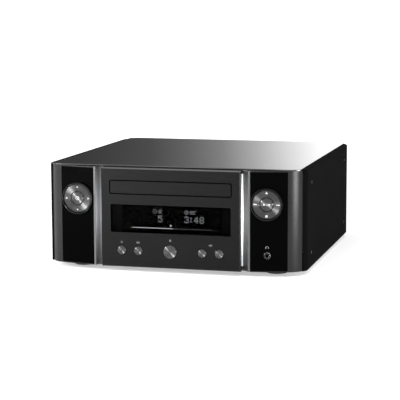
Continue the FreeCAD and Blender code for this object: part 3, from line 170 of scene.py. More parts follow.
# Place and target in metres, width and height in metres, radiance
soft_lamp("lamp_overhead", (0.1, -0.35, 2.0), (0, 0, 0), 2.2, 1.8, 1.5, (0, 1, 0))
soft_lamp("lamp_left", (-0.80, -0.76, 0.33), (0, -0.15, 0.08), 0.16, 0.85, 44.0, (-0.5, 0.7, 0.5))
soft_lamp("lamp_front", (-0.26, -0.97, 0.58), (0, -0.15, 0.06), 0.12, 0.6, 4.0, (0, 0.5, 0.87))
soft_lamp("lamp_right", (0.57, -0.40, 0.056), (0.13, -0.13, 0.06), 0.20, 0.10, 38.0)
soft_lamp("lamp_crown", (0.91, -0.5, 1.0), (0.1, -0.15, 0.08), 0.35, 0.35, 14.0)


def fill_ramp(ramp, stops):
    """Sets a colour ramp from pairs of position (0 to 1) and colour, in rising order."""
    for position, colour in stops:
        if position == 0.0:
            stop = ramp.elements[0]
        elif position == 1.0:
            stop = ramp.elements[len(ramp.elements) - 1]
        else:
            stop = ramp.elements.new(position)
        stop.color = colour


room = bpy.data.worlds.new("room")
scene.world = room
room.use_nodes = True
room_nodes = room.node_tree
room_light = room_nodes.nodes["Background"]
room_light.inputs["Color"].default_value = (1, 1, 1, 1)
direction_in = room_nodes.nodes.new("ShaderNodeTexCoord")
direction_parts = room_nodes.nodes.new("ShaderNodeSeparateXYZ")
room_nodes.links.new(direction_in.outputs["Generated"], direction_parts.inputs[0])
to_left = math_node(room_nodes, "MULTIPLY", direction_parts.outputs["X"], -1.0)
azimuth = math_node(room_nodes, "ARCTAN2", to_left, direction_parts.outputs["Y"])
turn = math_node(room_nodes, "DIVIDE", math_node(room_nodes, "ADD", azimuth, math.pi), 2 * math.pi)
room_ramp = room_nodes.nodes.new("ShaderNodeValToRGB")
room_nodes.links.new(turn, room_ramp.inputs[0])

# Strength of the room's light at each turn in degrees: 0 is straight behind and 90 is to the left
room_stops = [(-180.0, 0.45), (-60.0, 0.5), (-38.0, 1.6), (9.6, 1.95), (11.0, 1.35), (12.6, 0.72), (14.2, 0.30),
              (16.3, 0.10), (19.5, 0.04), (60.0, 0.04), (90.0, 0.14), (120.0, 0.35), (180.0, 0.45)]
full_strength = 2.5
ceiling_strength = 0.6
height_fall, height_offset = -2.2, 1.45
room_levels = [((degrees + 180.0) / 360.0, strength / full_strength) for degrees, strength in room_stops]
fill_ramp(room_ramp.color_ramp, [(position, (level, level, level, 1)) for position, level in room_levels])
height_share = math_node(room_nodes, "MULTIPLY_ADD", direction_parts.outputs["Z"], height_fall, height_offset,
                         clamp=True)
ring_light = math_node(room_nodes, "MULTIPLY", room_ramp.outputs["Color"], full_strength)
low_part = math_node(room_nodes, "MULTIPLY", ring_light, height_share)
high_part = math_node(room_nodes, "MULTIPLY", math_node(room_nodes, "SUBTRACT", 1.0, height_share),
                      ceiling_strength)
room_nodes.links.new(math_node(room_nodes, "ADD", low_part, high_part), room_light.inputs["Strength"])


# Shell: a folded cover of black painted steel over a zinc-plated chassis pan, closed at the back by
# a flat painted panel. The cover is held by four steel screws a side, sunk into pressed dimples.

# Finishes: size of the broad patches and height of the grain. Refining: corners closer than the
# reach are merged, faces within the flat angle are joined, and edges past the edge angle are rounded.
patch_scale = 22.0
grain_height = 0.04 * MM
merge_reach = 0.002 * MM
flat_angle = math.radians(0.4)
edge_angle = math.radians(38)


def finish(name, colour, roughness, metal=0.0, specular=0.5, grain=700.0, stretch=(1, 1, 1), relief=0.25,
           spread=0.06, tone=0.18, coat=0.0, coat_roughness=0.08, anisotropy=0.0):
    """A procedural finish: grain changes colour, roughness and height, and broad patches change the gloss."""
    material = bpy.data.materials.new(name)
    material.use_nodes = True
    tree = material.node_tree
    shader = tree.nodes["Principled BSDF"]
    shader.inputs["Metallic"].default_value = metal
    shader.inputs["Specular IOR Level"].default_value = specular
    shader.inputs["Coat Weight"].default_value = coat
    shader.inputs["Coat Roughness"].default_value = coat_roughness
    shader.inputs["Anisotropic"].default_value = anisotropy
    place = tree.nodes.new("ShaderNodeTexCoord")
    scaled = tree.nodes.new("ShaderNodeMapping")
    scaled.inputs["Scale"].default_value = stretch
    tree.links.new(place.outputs["Object"], scaled.inputs["Vector"])
    fine = tree.nodes.new("ShaderNodeTexNoise")
    fine.inputs["Scale"].default_value = grain
    fine.inputs["Detail"].default_value = 3.0
    tree.links.new(scaled.outputs["Vector"], fine.inputs["Vector"])
    broad = tree.nodes.new("ShaderNodeTexNoise")
    broad.inputs["Scale"].default_value = patch_scale
    broad.inputs["Detail"].default_value = 2.0
    tree.links.new(place.outputs["Object"], broad.inputs["Vector"])
    shades = tree.nodes.new("ShaderNodeValToRGB")
    low = [c * (1 - tone) for c in colour]
    high = [min(c * (1 + tone), 1.0) for c in colour]
    shades.color_ramp.elements[0].position = 0.3
    shades.color_ramp.elements[0].color = (*low, 1)
    shades.color_ramp.elements[1].position = 0.7
    shades.color_ramp.elements[1].color = (*high, 1)
    tree.links.new(fine.outputs[0], shades.inputs[0])
    tree.links.new(shades.outputs["Color"], shader.inputs["Base Color"])
    gloss = math_node(tree, "MULTIPLY_ADD", fine.outputs[0], spread, roughness - spread)
    gloss = math_node(tree, "MULTIPLY_ADD", broad.outputs[0], spread, gloss, clamp=True)
    tree.links.new(gloss, shader.inputs["Roughness"])
    bump = tree.nodes.new("ShaderNodeBump")
    bump.inputs["Strength"].default_value = relief
    bump.inputs["Distance"].default_value = grain_height
    tree.links.new(fine.outputs[0], bump.inputs["Height"])
    tree.links.new(bump.outputs["Normal"], shader.inputs["Normal"])
    return material


def link_object(name, mesh):
    """Puts a mesh into the scene as an object."""
    piece = bpy.data.objects.new(name, mesh)
    scene.collection.objects.link(piece)
    return piece


def baked(piece):
    """Turns a piece and its modifiers into a plain mesh."""
    graph = bpy.context.evaluated_depsgraph_get()
    mesh = bpy.data.meshes.new_from_object(piece.evaluated_get(graph))
    piece.modifiers.clear()
    piece.data = mesh
    return piece


def smooth_by_angle(mesh):
    """Smooth shading, with sharp edges where the surface turns by more than 32 degrees."""
    mesh.shade_smooth()
    mesh.set_sharp_from_angle(angle=math.radians(32.0))


def refined(node, edge, cutters=()):
    """A merged copy of a piece of the frame with small rounded edges; cutters are sunk into it first."""
    mesh = frame["nodes"][node].data.copy()
    mesh.materials.clear()
    if "custom_normal" in mesh.attributes:
        mesh.attributes.remove(mesh.attributes["custom_normal"])
    work = bmesh.new()
    work.from_mesh(mesh)
    bmesh.ops.remove_doubles(work, verts=work.verts, dist=merge_reach)
    bmesh.ops.dissolve_limit(work, angle_limit=flat_angle, verts=work.verts, edges=work.edges)
    work.to_mesh(mesh)
    work.free()
    piece = link_object(node + "_finished", mesh)
    for cutter in cutters:
        cut = piece.modifiers.new("cut", "BOOLEAN")
        cut.operation = "DIFFERENCE"
        cut.solver = "EXACT"
        cut.object = cutter
    if edge:
        round_off = piece.modifiers.new("edge", "BEVEL")
        round_off.width = edge * MM
        round_off.segments = 2
        round_off.limit_method = "ANGLE"
        round_off.angle_limit = edge_angle
        round_off.use_clamp_overlap = True
        round_off.miter_outer = "MITER_SHARP"
    baked(piece)
    for cutter in cutters:
        bpy.data.objects.remove(cutter)
    smooth_by_angle(piece.data)
    if edge:
        even = piece.modifiers.new("even", "WEIGHTED_NORMAL")
        even.keep_sharp = True
        baked(piece)
    return piece


def seated(piece, node, material=None):
    """The piece stands for a piece of the frame and moves with its body."""
    if material:
        piece.data.materials.clear()
        piece.data.materials.append(material)
    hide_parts(node)
    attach(piece, body_of[node])
    return piece


def painted_by(piece, materials, choose):
    """Gives each face the material whose number choose returns for the face's centre (mm) and normal."""
    piece.data.materials.clear()
    for material in materials:
        piece.data.materials.append(material)
    for face in piece.data.polygons:
        face.material_index = choose(face.center / MM, face.normal)
    return piece


def dressed(node, edge, *materials, choose=None, cutters=()):
    """Refines and seats a piece of the frame; of several materials, choose picks one for each face."""
    piece = refined(node, edge, cutters)
    if choose:
        return seated(painted_by(piece, materials, choose), node)
    return seated(piece, node, materials[0])


def riding(piece, body):
    """A piece that only scene.py has; it moves with the given body."""
    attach(piece, body)


def node_group(name, sizes):
    """Empty Geometry Nodes tree with named sizes; returns the tree and its input and output nodes."""
    group = bpy.data.node_groups.new(name, "GeometryNodeTree")
    group.interface.new_socket("Geometry", in_out="INPUT", socket_type="NodeSocketGeometry")
    group.interface.new_socket("Geometry", in_out="OUTPUT", socket_type="NodeSocketGeometry")
    for label, value in sizes.items():
        socket = group.interface.new_socket(label, in_out="INPUT", socket_type="NodeSocketFloat")
        socket.default_value = value
    return group, group.nodes.new("NodeGroupInput"), group.nodes.new("NodeGroupOutput")


def close_tree(group, geometry, output, material):
    """Ends a tree with Realize Instances and Set Material."""
    realize = group.nodes.new("GeometryNodeRealizeInstances")
    paint = group.nodes.new("GeometryNodeSetMaterial")
    paint.inputs["Material"].default_value = material
    group.links.new(geometry, realize.inputs["Geometry"])
    group.links.new(realize.outputs["Geometry"], paint.inputs["Geometry"])
    group.links.new(paint.outputs["Geometry"], output.inputs["Geometry"])


def points_object(name, places, facings):
    """Object whose vertices are the places, in millimetres; each vertex also stores which way it faces."""
    mesh = bpy.data.meshes.new(name)
    mesh.from_pydata([Vector(place) * MM for place in places], [], [])
    facing = mesh.attributes.new("facing", "FLOAT_VECTOR", "POINT")
    for item, direction in zip(facing.data, facings):
        item.vector = direction
    return link_object(name, mesh)


def grown(piece, group, **sizes):
    """Runs a tree on an object and leaves a plain mesh; sizes are given by the inputs' names."""
    modifier = piece.modifiers.new("grow", "NODES")
    modifier.node_group = group
    for socket in group.interface.items_tree:
        label = socket.name.lower().replace(" ", "_")
        if socket.in_out == "INPUT" and label in sizes:
            modifier[socket.identifier] = sizes[label]
    baked(piece)
    smooth_by_angle(piece.data)
    return piece


case_paint = finish("case_paint", (0.0034, 0.0034, 0.0035), 0.75, specular=0.004, grain=1400.0, relief=0.15)
plated_steel = finish("plated_steel", (0.50, 0.51, 0.52), 0.36, metal=1.0, grain=260.0, stretch=(1, 6, 1),
                      spread=0.12, tone=0.12)
screw_steel = finish("screw_steel", (0.55, 0.55, 0.56), 0.32, metal=1.0, grain=900.0, spread=0.12)

# Screw heads: a low cone with a cross recess, turned by chance about its own axis. The shares are
# of the head's radius and height.
tip_share, slot_length_share, slot_depth_share = 0.74, 1.15, 1.3
largest_turn = 1.5
screw_tree, given, result = node_group("screw_heads", {"Radius": 0.003, "Height": 0.001, "Recess": 0.0009})
head = screw_tree.nodes.new("GeometryNodeMeshCone")
head.inputs["Vertices"].default_value = 28
narrow = math_node(screw_tree, "MULTIPLY", given.outputs["Radius"], tip_share)
screw_tree.links.new(narrow, head.inputs["Radius Top"])
screw_tree.links.new(given.outputs["Radius"], head.inputs["Radius Bottom"])
screw_tree.links.new(given.outputs["Height"], head.inputs["Depth"])
long_side = math_node(screw_tree, "MULTIPLY", given.outputs["Radius"], slot_length_share)
deep_side = math_node(screw_tree, "MULTIPLY", given.outputs["Height"], slot_depth_share)
bars = screw_tree.nodes.new("GeometryNodeJoinGeometry")
for first, second in ((long_side, given.outputs["Recess"]), (given.outputs["Recess"], long_side)):
    size = screw_tree.nodes.new("ShaderNodeCombineXYZ")
    screw_tree.links.new(first, size.inputs["X"])
    screw_tree.links.new(second, size.inputs["Y"])
    screw_tree.links.new(deep_side, size.inputs["Z"])
    bar = screw_tree.nodes.new("GeometryNodeMeshCube")
    screw_tree.links.new(size.outputs[0], bar.inputs["Size"])
    screw_tree.links.new(bar.outputs["Mesh"], bars.inputs[0])
raised = screw_tree.nodes.new("GeometryNodeTransform")
rise = screw_tree.nodes.new("ShaderNodeCombineXYZ")
screw_tree.links.new(given.outputs["Height"], rise.inputs["Z"])
screw_tree.links.new(bars.outputs[0], raised.inputs["Geometry"])
screw_tree.links.new(rise.outputs[0], raised.inputs["Translation"])
recess = screw_tree.nodes.new("GeometryNodeMeshBoolean")
recess.operation = "DIFFERENCE"
screw_tree.links.new(head.outputs["Mesh"], recess.inputs["Mesh 1"])
screw_tree.links.new(raised.outputs[0], recess.inputs["Mesh 2"])
facing_read = screw_tree.nodes.new("GeometryNodeInputNamedAttribute")
facing_read.data_type = "FLOAT_VECTOR"
facing_read.inputs["Name"].default_value = "facing"
aim = screw_tree.nodes.new("FunctionNodeAlignRotationToVector")
aim.axis = "Z"
screw_tree.links.new(facing_read.outputs["Attribute"], aim.inputs["Vector"])
placed = screw_tree.nodes.new("GeometryNodeInstanceOnPoints")
screw_tree.links.new(given.outputs["Geometry"], placed.inputs["Points"])
screw_tree.links.new(recess.outputs["Mesh"], placed.inputs["Instance"])
screw_tree.links.new(aim.outputs[0], placed.inputs["Rotation"])
chance = screw_tree.nodes.new("FunctionNodeRandomValue")
chance.inputs["Seed"].default_value = 7
spin_angle = math_node(screw_tree, "MULTIPLY", chance.outputs[1], largest_turn)
spin = screw_tree.nodes.new("ShaderNodeCombineXYZ")
screw_tree.links.new(spin_angle, spin.inputs["Z"])
spun_heads = screw_tree.nodes.new("GeometryNodeRotateInstances")
screw_tree.links.new(placed.outputs["Instances"], spun_heads.inputs["Instances"])
screw_tree.links.new(spin.outputs[0], spun_heads.inputs["Rotation"])
close_tree(screw_tree, spun_heads.outputs["Instances"], result, screw_steel)


def dimple(places, radius, depth, facing_x):
    """Cutter for round dimples pressed into a side of the cover; it flares and ends outside the sheet."""
    inner, outer, overshoot = radius * 0.8, radius * 1.35, 2.0
    start, end = (inner, outer) if facing_x > 0 else (outer, inner)
    turn_x = Matrix.Rotation(math.radians(90), 4, "Y")
    work = bmesh.new()
    for x, y, z in places:
        centre = Matrix.Translation(Vector((x - facing_x * (depth - overshoot) / 2, y, z)) * MM)
        bmesh.ops.create_cone(work, cap_ends=True, segments=32, radius1=start * MM, radius2=end * MM,
                              depth=(depth + overshoot) * MM, matrix=centre @ turn_x)
    bmesh.ops.recalc_face_normals(work, faces=work.faces)
    mesh = bpy.data.meshes.new("dimples")
    work.to_mesh(mesh)
    work.free()
    return link_object("dimples", mesh)


side_x = cad_box[1].x / MM
dimple_radius, dimple_depth, sunk = 3.3, 0.55, 0.01
screw_rows = [(y, z) for y in (-101.0, 107.0) for z in (20.0, 94.5)]
dimple_cutters = [dimple([(sign * side_x, y, z) for y, z in screw_rows], dimple_radius, dimple_depth, sign)
                  for sign in (-1, 1)]
dressed("cover", 0.25, case_paint, cutters=dimple_cutters)
side_places = [(sign * (side_x - dimple_depth - sunk), y, z) for sign in (-1, 1) for y, z in screw_rows]
side_facings = [(sign, 0, 0) for sign in (-1, 1) for row in screw_rows]
side_screws = grown(points_object("side_screws", side_places, side_facings), screw_tree,
                    radius=2.7 * MM, height=0.5 * MM, recess=0.75 * MM)
riding(side_screws, "housing")

# The front ends of the chassis walls show in the seam behind the wings, so they are painted
seam_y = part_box("cover")[0].y / MM + 4.0
dressed("chassis", 0.0, plated_steel, case_paint,
        choose=lambda centre, normal: 1 if centre.y < seam_y or normal.y < -0.9 else 0)

rear_paint = finish("rear_paint", (0.012, 0.012, 0.0124), 0.6, specular=0.15, grain=1400.0, relief=0.2)
dressed("rear_panel", 0.15, rear_paint)

rear_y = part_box("rear_panel")[1].y / MM
rear_places = [(x, rear_y, z) for x in (-112.0, 112.0) for z in (16.0, 100.0)]
rear_places += [(-64.0, rear_y, 100.0), (64.0, rear_y, 100.0), (0.0, rear_y, 14.0), (28.0, rear_y, 38.0),
                (60.0, rear_y, 38.0), (-102.0, rear_y, 54.0)]
rear_screws = grown(points_object("rear_screws", rear_places, [(0, 1, 0)] * len(rear_places)), screw_tree,
                    radius=3.0 * MM, height=1.6 * MM, recess=0.8 * MM)
riding(rear_screws, "housing")

under_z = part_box("chassis")[0].z / MM
under_places = [(x, y, under_z) for x in (-58.0, 58.0) for y in (-100.0, 20.0, 118.0)]
under_screws = grown(points_object("underside_screws", under_places, [(0, 0, -1)] * len(under_places)),
                     screw_tree, radius=2.8 * MM, height=1.4 * MM, recess=0.8 * MM)
riding(under_screws, "housing")


# Top plate: a flat plate let into the top of the cover, lacquered gloss black and polished, with
# finely rounded edges.

top_gloss = finish("top_gloss", (0.028, 0.028, 0.029), 0.13, specular=0.5, grain=900.0, relief=0.06, spread=0.03,
                   tone=0.1, coat=0.25, coat_roughness=0.06)
dressed("top_plate", 0.12, top_gloss)


# Feet: black mouldings with a bevelled rim, each with a soft rubber pad glued underneath.

moulded_black = finish("moulded_black", (0.017, 0.017, 0.0175), 0.42, specular=0.4, grain=1100.0, relief=0.45)
soft_rubber = finish("soft_rubber", (0.012, 0.012, 0.012), 0.78, specular=0.25, grain=1600.0, relief=0.7,
                     spread=0.1)
dressed("feet", 0.25, moulded_black)
dressed("foot_pads", 0.15, soft_rubber)


# Wings: two mouldings in smooth dark lacquer, each a gently bowed front that turns into a rounded
# column at the side. A deep black glossy inlay is glued into the bowed part.

wing_lacquer = finish("wing_lacquer", (0.012, 0.012, 0.0124), 0.28, specular=0.16, grain=1200.0, relief=0.05,
                      spread=0.04, tone=0.08)
inlay_gloss = finish("inlay_gloss", (0.0008, 0.0008, 0.0009), 0.09, specular=0.01, grain=900.0, relief=0.03,
                     spread=0.02, tone=0.1)
for side in ("left", "right"):
    dressed("wing_" + side, 0.2, wing_lacquer)
    dressed("inlay_" + side, 0.15, inlay_gloss)


def raised_shapes(name, outlines, y, thickness, material):
    """Flat shapes in front of a face: each outline is a list of (x, z) in mm and faces the viewer."""
    work = bmesh.new()
    for outline in outlines:
        front = [work.verts.new(Vector((x, y - thickness, z)) * MM) for x, z in outline]
        back = [work.verts.new(Vector((x, y, z)) * MM) for x, z in outline]
        work.faces.new(front)
        work.faces.new(list(reversed(back)))
        for step in range(len(outline)):
            after = (step + 1) % len(outline)
            work.faces.new((front[step], back[step], back[after], front[after]))
    bmesh.ops.recalc_face_normals(work, faces=work.faces)
    mesh = bpy.data.meshes.new(name)
    work.to_mesh(mesh)
    work.free()
    mesh.materials.append(material)
    return link_object(name, mesh)


def rectangle(x0, x1, z0, z1):
    """Outline of a rectangle, upright in the plane of the front."""
    return [(x0, z0), (x1, z0), (x1, z1), (x0, z1)]


# A foam strip behind each seam between wing and cover keeps light and dust out
seam_inner, seam_outer, seam_foot, seam_top = 133.5, 136.9, 6.0, 107.0
seam_strips = [rectangle(sign * seam_outer, sign * seam_inner, seam_foot, seam_top) for sign in (-1, 1)]
riding(raised_shapes("seam_strips", seam_strips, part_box("cover")[0].y / MM + 1.4, 0.7, soft_rubber), "housing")


# Lit grooves: a hollow satin silver strip beside each wing, and a clear bar at the root of the
# centre panel that throws light across it.

satin_silver = finish("satin_silver", (0.115, 0.115, 0.117), 0.50, metal=1.0, grain=500.0, stretch=(12, 12, 1),
                      relief=0.1, spread=0.08, tone=0.06)
for side in ("left", "right"):
    dressed("cheek_" + side, 0.15, satin_silver)

guide_clear = finish("guide_clear", (0.75, 0.76, 0.78), 0.12, specular=0.5, grain=300.0, relief=0.05)
guide_tree = guide_clear.node_tree
guide_shader = guide_tree.nodes["Principled BSDF"]
guide_shader.inputs["Emission Strength"].default_value = 3.6

# The light is strongest at mid height (mm) and fades towards both ends of the bar
guide_height = 111.0
guide_stops = ((0.0, 0.02), (18.0, 0.10), (34.0, 0.36), (48.0, 0.76), (63.0, 1.0), (78.0, 0.76), (90.0, 0.42),
               (104.0, 0.12), (guide_height, 0.05))
guide_place = guide_tree.nodes.new("ShaderNodeTexCoord")
guide_parts = guide_tree.nodes.new("ShaderNodeSeparateXYZ")
guide_fade = guide_tree.nodes.new("ShaderNodeValToRGB")
guide_tree.links.new(guide_place.outputs["Object"], guide_parts.inputs[0])
guide_tree.links.new(math_node(guide_tree, "DIVIDE", guide_parts.outputs["Z"], guide_height * MM),
                     guide_fade.inputs[0])
fill_ramp(guide_fade.color_ramp, [(height / guide_height, (0.97 * strength, 0.98 * strength, strength, 1))
                                  for height, strength in guide_stops])
guide_tree.links.new(guide_fade.outputs["Color"], guide_shader.inputs["Emission Color"])

# The left bar is turned away from the viewer and shows only by its light; it glows more strongly than the right one,
# as painted light that brightens the left groove
guide_bright = guide_clear.copy()
guide_bright.name = "guide_bright"
guide_bright.node_tree.nodes["Principled BSDF"].inputs["Emission Strength"].default_value = 14.0
dressed("light_guides", 0.0, guide_clear, guide_bright, choose=lambda centre, normal: 1 if centre.x < 0 else 0)


# Centre panel: a thick plate of dark anodised aluminium, brushed from side to side, with a bevel cut along its top
# edge whose upward faces are given a brighter metal as a painted highlight. The tray door is cut from the same plate
# and closes flush in its opening.

brushed_dark = finish("brushed_dark", (0.0140, 0.0140, 0.0143), 0.36, metal=1.0, grain=900.0,
                      stretch=(0.05, 1, 1), relief=0.18, spread=0.10, tone=0.07)
# Brighter metal for the upward faces of the top bevel, a painted highlight
cut_bevel = finish("cut_bevel", (0.085, 0.085, 0.087), 0.2, metal=1.0, grain=600.0, stretch=(0.1, 1, 1),
                   relief=0.05, tone=0.06)
# Near black for the walls of the openings and the edges of the door: painted shade in the gaps
opening_edge = finish("opening_edge", (0.0012, 0.0012, 0.0012), 0.6, specular=0.02, grain=900.0)

panel_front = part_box("centre_panel")[0].y / MM


def panel_face(centre, normal):
    """The top bevel's upward faces get a brighter metal as a painted highlight, the walls of the openings are
    painted dark as shade, and the rest is brushed.
    """
    among_openings = abs(centre.x) < 70 and 12 < centre.z < 100
    if among_openings and abs(normal.y) < 0.95:
        return 2
    slants_up = 0.3 < -normal.y < 0.95 and normal.z > 0.3
    return 1 if slants_up and centre.y < panel_front + 1.2 else 0


dressed("centre_panel", 0.12, brushed_dark, cut_bevel, opening_edge, choose=panel_face)
# The door's edges and bevels are painted dark as shade in the gap round it
dressed("tray_door", 0.5, brushed_dark, opening_edge,
        choose=lambda centre, normal: 0 if normal.y < -0.95 else 1)


def triangle(x, z, reach, angle):
    """Triangle round a point; the angle says where its tip points, 0 to the right and 90 up."""
    corners = []
    for turn_on in (0, 120, 240):
        a = math.radians(angle + turn_on)
        corners.append((x + reach * math.cos(a), z + reach * math.sin(a)))
    return corners


def band(x, z, inner, outer, start, end, steps=24):
    """Part of a ring between two angles in degrees."""
    turns = [math.radians(start + (end - start) * step / steps) for step in range(steps + 1)]
    outside = [(x + outer * math.cos(a), z + outer * math.sin(a)) for a in turns]
    inside = [(x + inner * math.cos(a), z + inner * math.sin(a)) for a in reversed(turns)]
    return outside + inside


def two_bands(x, z, inner, outer):
    """A whole ring, as two halves."""
    return [band(x, z, inner, outer, 0, 180), band(x, z, inner, outer, 180, 360)]


panel_marks = [
    # Power, over the first key
    band(-52.8, 31.2, 0.75, 1.05, 130, 410),
    rectangle(-52.95, -52.65, 31.2, 32.5),
    # Source: an arrow into a box
    rectangle(-36.4, -33.6, 30.35, 30.65),
    rectangle(-36.4, -33.6, 31.95, 32.25),
    rectangle(-33.6, -33.3, 30.35, 32.25),
    rectangle(-37.0, -35.4, 31.15, 31.45),
    triangle(-35.0, 31.3, 0.62, 0),
    # Open and close, over the large key
    triangle(0.0, 34.9, 1.15, 90),
    rectangle(-1.0, 1.0, 33.55, 33.95),
    # Volume: a loudspeaker and two waves
    rectangle(41.6, 42.4, 30.9, 31.7),
    [(42.4, 31.0), (43.4, 30.3), (43.4, 32.3), (42.4, 31.6)],
    band(43.2, 31.3, 1.0, 1.25, -45, 45, 8),
    band(43.2, 31.3, 1.6, 1.85, -45, 45, 8),
]
door_low, door_high = (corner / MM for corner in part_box("tray_door"))


def rounded_outline(grow, radius):
    """Points round the tray door's outline, grown outwards (mm)."""
    points = []
    steps = 6
    for x, z, start in ((door_high.x, door_high.z, 0), (door_low.x, door_high.z, 90),
                        (door_low.x, door_low.z, 180), (door_high.x, door_low.z, 270)):
        inward_x = -1 if x > 0 else 1
        inward_z = -1 if z == door_high.z else 1
        for step in range(steps + 1):
            a = math.radians(start + 90 * step / steps)
            points.append((x + inward_x * radius + (radius + grow) * math.cos(a),
                           z + inward_z * radius + (radius + grow) * math.sin(a)))
    return points


# A painted shadow on the panel round the door, from the opening's edge outwards, which widens the dark gap
corner_radius = 1.6
inner_line = rounded_outline(0.40, corner_radius)
outer_line = rounded_outline(0.85, corner_radius)
door_shadow_bands = [[inner_line[place - 1], inner_line[place], outer_line[place], outer_line[place - 1]]
              for place in range(len(inner_line))]
riding(raised_shapes("door_edge_paint", door_shadow_bands, panel_front + 0.01, 0.02, opening_edge), "housing")
print_grey = finish("print_grey", (0.20, 0.20, 0.20), 0.5, specular=0.2, grain=2500.0, relief=0.1, tone=0.05)
riding(raised_shapes("panel_marks", panel_marks, panel_front + 0.01, 0.03, print_grey), "housing")


# Display: a smoked window glued behind the panel with its face flush, and behind it a display
# glass whose characters are built from small square dots that glow.

smoked = finish("smoked_window", (0.30, 0.30, 0.31), 0.004, specular=0.5, grain=200.0, relief=0.0, spread=0.002,
                tone=0.03)
smoked_shader = smoked.node_tree.nodes["Principled BSDF"]
smoked_shader.inputs["Transmission Weight"].default_value = 1.0
smoked_shader.inputs["IOR"].default_value = 1.06
dressed("display_window", 0.1, smoked)

display_black = finish("display_black", (0.0002, 0.0002, 0.0003), 0.06, specular=0.02, spread=0.02, grain=500.0,
                       relief=0.05)
dressed("display_module", 0.1, display_black)


def glowing(name, colour, strength):
    """A dark face that gives off a cool white light."""
    material = finish(name, colour, 0.5, specular=0.02, grain=900.0, relief=0.0)
    shader = material.node_tree.nodes["Principled BSDF"]
    shader.inputs["Emission Color"].default_value = (0.94, 0.97, 1.0, 1)
    shader.inputs["Emission Strength"].default_value = strength
    return material


lit_dots = glowing("lit_dots", (0.010, 0.010, 0.011), 1.8)
faint_dots = glowing("faint_dots", (0.004, 0.004, 0.0044), 0.3)

# Characters as rows of dots, top row first
characters = {
    "3": ("01110", "10001", "00001", "00110", "00001", "10001", "01110"),
    "4": ("00010", "00110", "01010", "10010", "11111", "00010", "00010"),
    "5": ("11111", "10000", "11110", "00001", "00001", "10001", "01110"),
    "8": ("01110", "10001", "10001", "01110", "10001", "10001", "01110"),
    ":": ("00000", "00100", "00100", "00000", "00100", "00100", "00000"),
    "disc": ("0011100", "0100010", "1000001", "1001001", "1000001", "0100010", "0011100"),
    "clock": ("0011100", "0100010", "1001001", "1001101", "1000001", "0100010", "0011100"),
    "bars": ("0000000", "1111111", "0000000", "1111100", "0000000", "1111110", "0000000"),
}


def dots(text, x, z, pitch_x, pitch_z):
    """Outlines of the square dots of one character whose lower left corner is at (x, z)."""
    outlines = []
    fill = 0.58
    rows = characters[text]
    for row, line in enumerate(rows):
        for column, lit in enumerate(line):
            if lit == "1":
                left = x + column * pitch_x
                low = z + (len(rows) - 1 - row) * pitch_z
                outlines.append(rectangle(left, left + pitch_x * fill, low, low + pitch_z * fill))
    return outlines


# The readout: two signs with bars over a track number and a time, and a line that shows the progress
readout = []
for text, x in (("5", -13.9), ("3", 14.6), (":", 19.4), ("4", 25.0), ("8", 30.9)):
    readout += dots(text, x, 53.3, 0.92, 1.0)
for text, x, pitch_x in (("disc", -19.6, 0.62), ("bars", -13.6, 0.62), ("clock", 14.6, 0.62), ("bars", 20.6, 0.92)):
    readout += dots(text, x, 62.0, pitch_x, 0.66)
readout += [rectangle(-42.8, 2.1, 46.3, 46.95), triangle(-0.3, 49.6, 1.5, 0)]
glass_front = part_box("display_module")[0].y / MM
riding(raised_shapes("readout", readout, glass_front + 0.01, 0.05, lit_dots), "housing")
riding(raised_shapes("readout_rest", [rectangle(2.2, 43.7, 46.4, 46.8)], glass_front + 0.01, 0.05, faint_dots),
       "housing")


# Dials: rings lacquered gloss black and pressed into the wings, and in each a four-way pad of spun
# aluminium that tilts on a gimbal, round a centre key turned from the same bar.

def spun(name, colour, roughness, centre):
    """Turned metal: fine grooves round an axis along Y through the centre (mm), which draw the light out."""
    material = finish(name, colour, roughness, metal=1.0, grain=500.0, spread=0.02, tone=0.03, anisotropy=1.0)
    tree = material.node_tree
    shader = tree.nodes["Principled BSDF"]
    place = tree.nodes.new("ShaderNodeTexCoord")
    shifted = tree.nodes.new("ShaderNodeMapping")
    shifted.inputs["Location"].default_value = -Vector(centre) * MM
    tree.links.new(place.outputs["Object"], shifted.inputs["Vector"])
    flat = tree.nodes.new("ShaderNodeVectorMath")
    flat.operation = "MULTIPLY"
    flat.inputs[1].default_value = (1, 0, 1)
    tree.links.new(shifted.outputs["Vector"], flat.inputs[0])
    reach = tree.nodes.new("ShaderNodeVectorMath")
    reach.operation = "LENGTH"
    tree.links.new(flat.outputs["Vector"], reach.inputs[0])
    unit = tree.nodes.new("ShaderNodeVectorMath")
    unit.operation = "NORMALIZE"
    tree.links.new(flat.outputs["Vector"], unit.inputs[0])
    tree.links.new(unit.outputs["Vector"], shader.inputs["Tangent"])
    ring_noise = tree.nodes.new("ShaderNodeTexNoise")
    ring_noise.noise_dimensions = "1D"
    ring_noise.inputs["Scale"].default_value = 5200.0
    ring_noise.inputs["Detail"].default_value = 2.0
    tree.links.new(reach.outputs["Value"], ring_noise.inputs["W"])
    groove = tree.nodes.new("ShaderNodeBump")
    groove.inputs["Strength"].default_value = 0.35
    groove.inputs["Distance"].default_value = 0.03 * MM
    tree.links.new(ring_noise.outputs[0], groove.inputs["Height"])
    tree.links.new(groove.outputs["Normal"], shader.inputs["Normal"])
    return material


print_white = finish("print_white", (0.58, 0.58, 0.57), 0.5, specular=0.3, grain=2500.0, relief=0.1, tone=0.05)
bezel_black = finish("bezel_black", (0.0020, 0.0020, 0.0022), 0.15, specular=0.35, grain=500.0, relief=0.04,
                     spread=0.04, tone=0.04)
dressed("dial_bezels", 0.12, bezel_black)

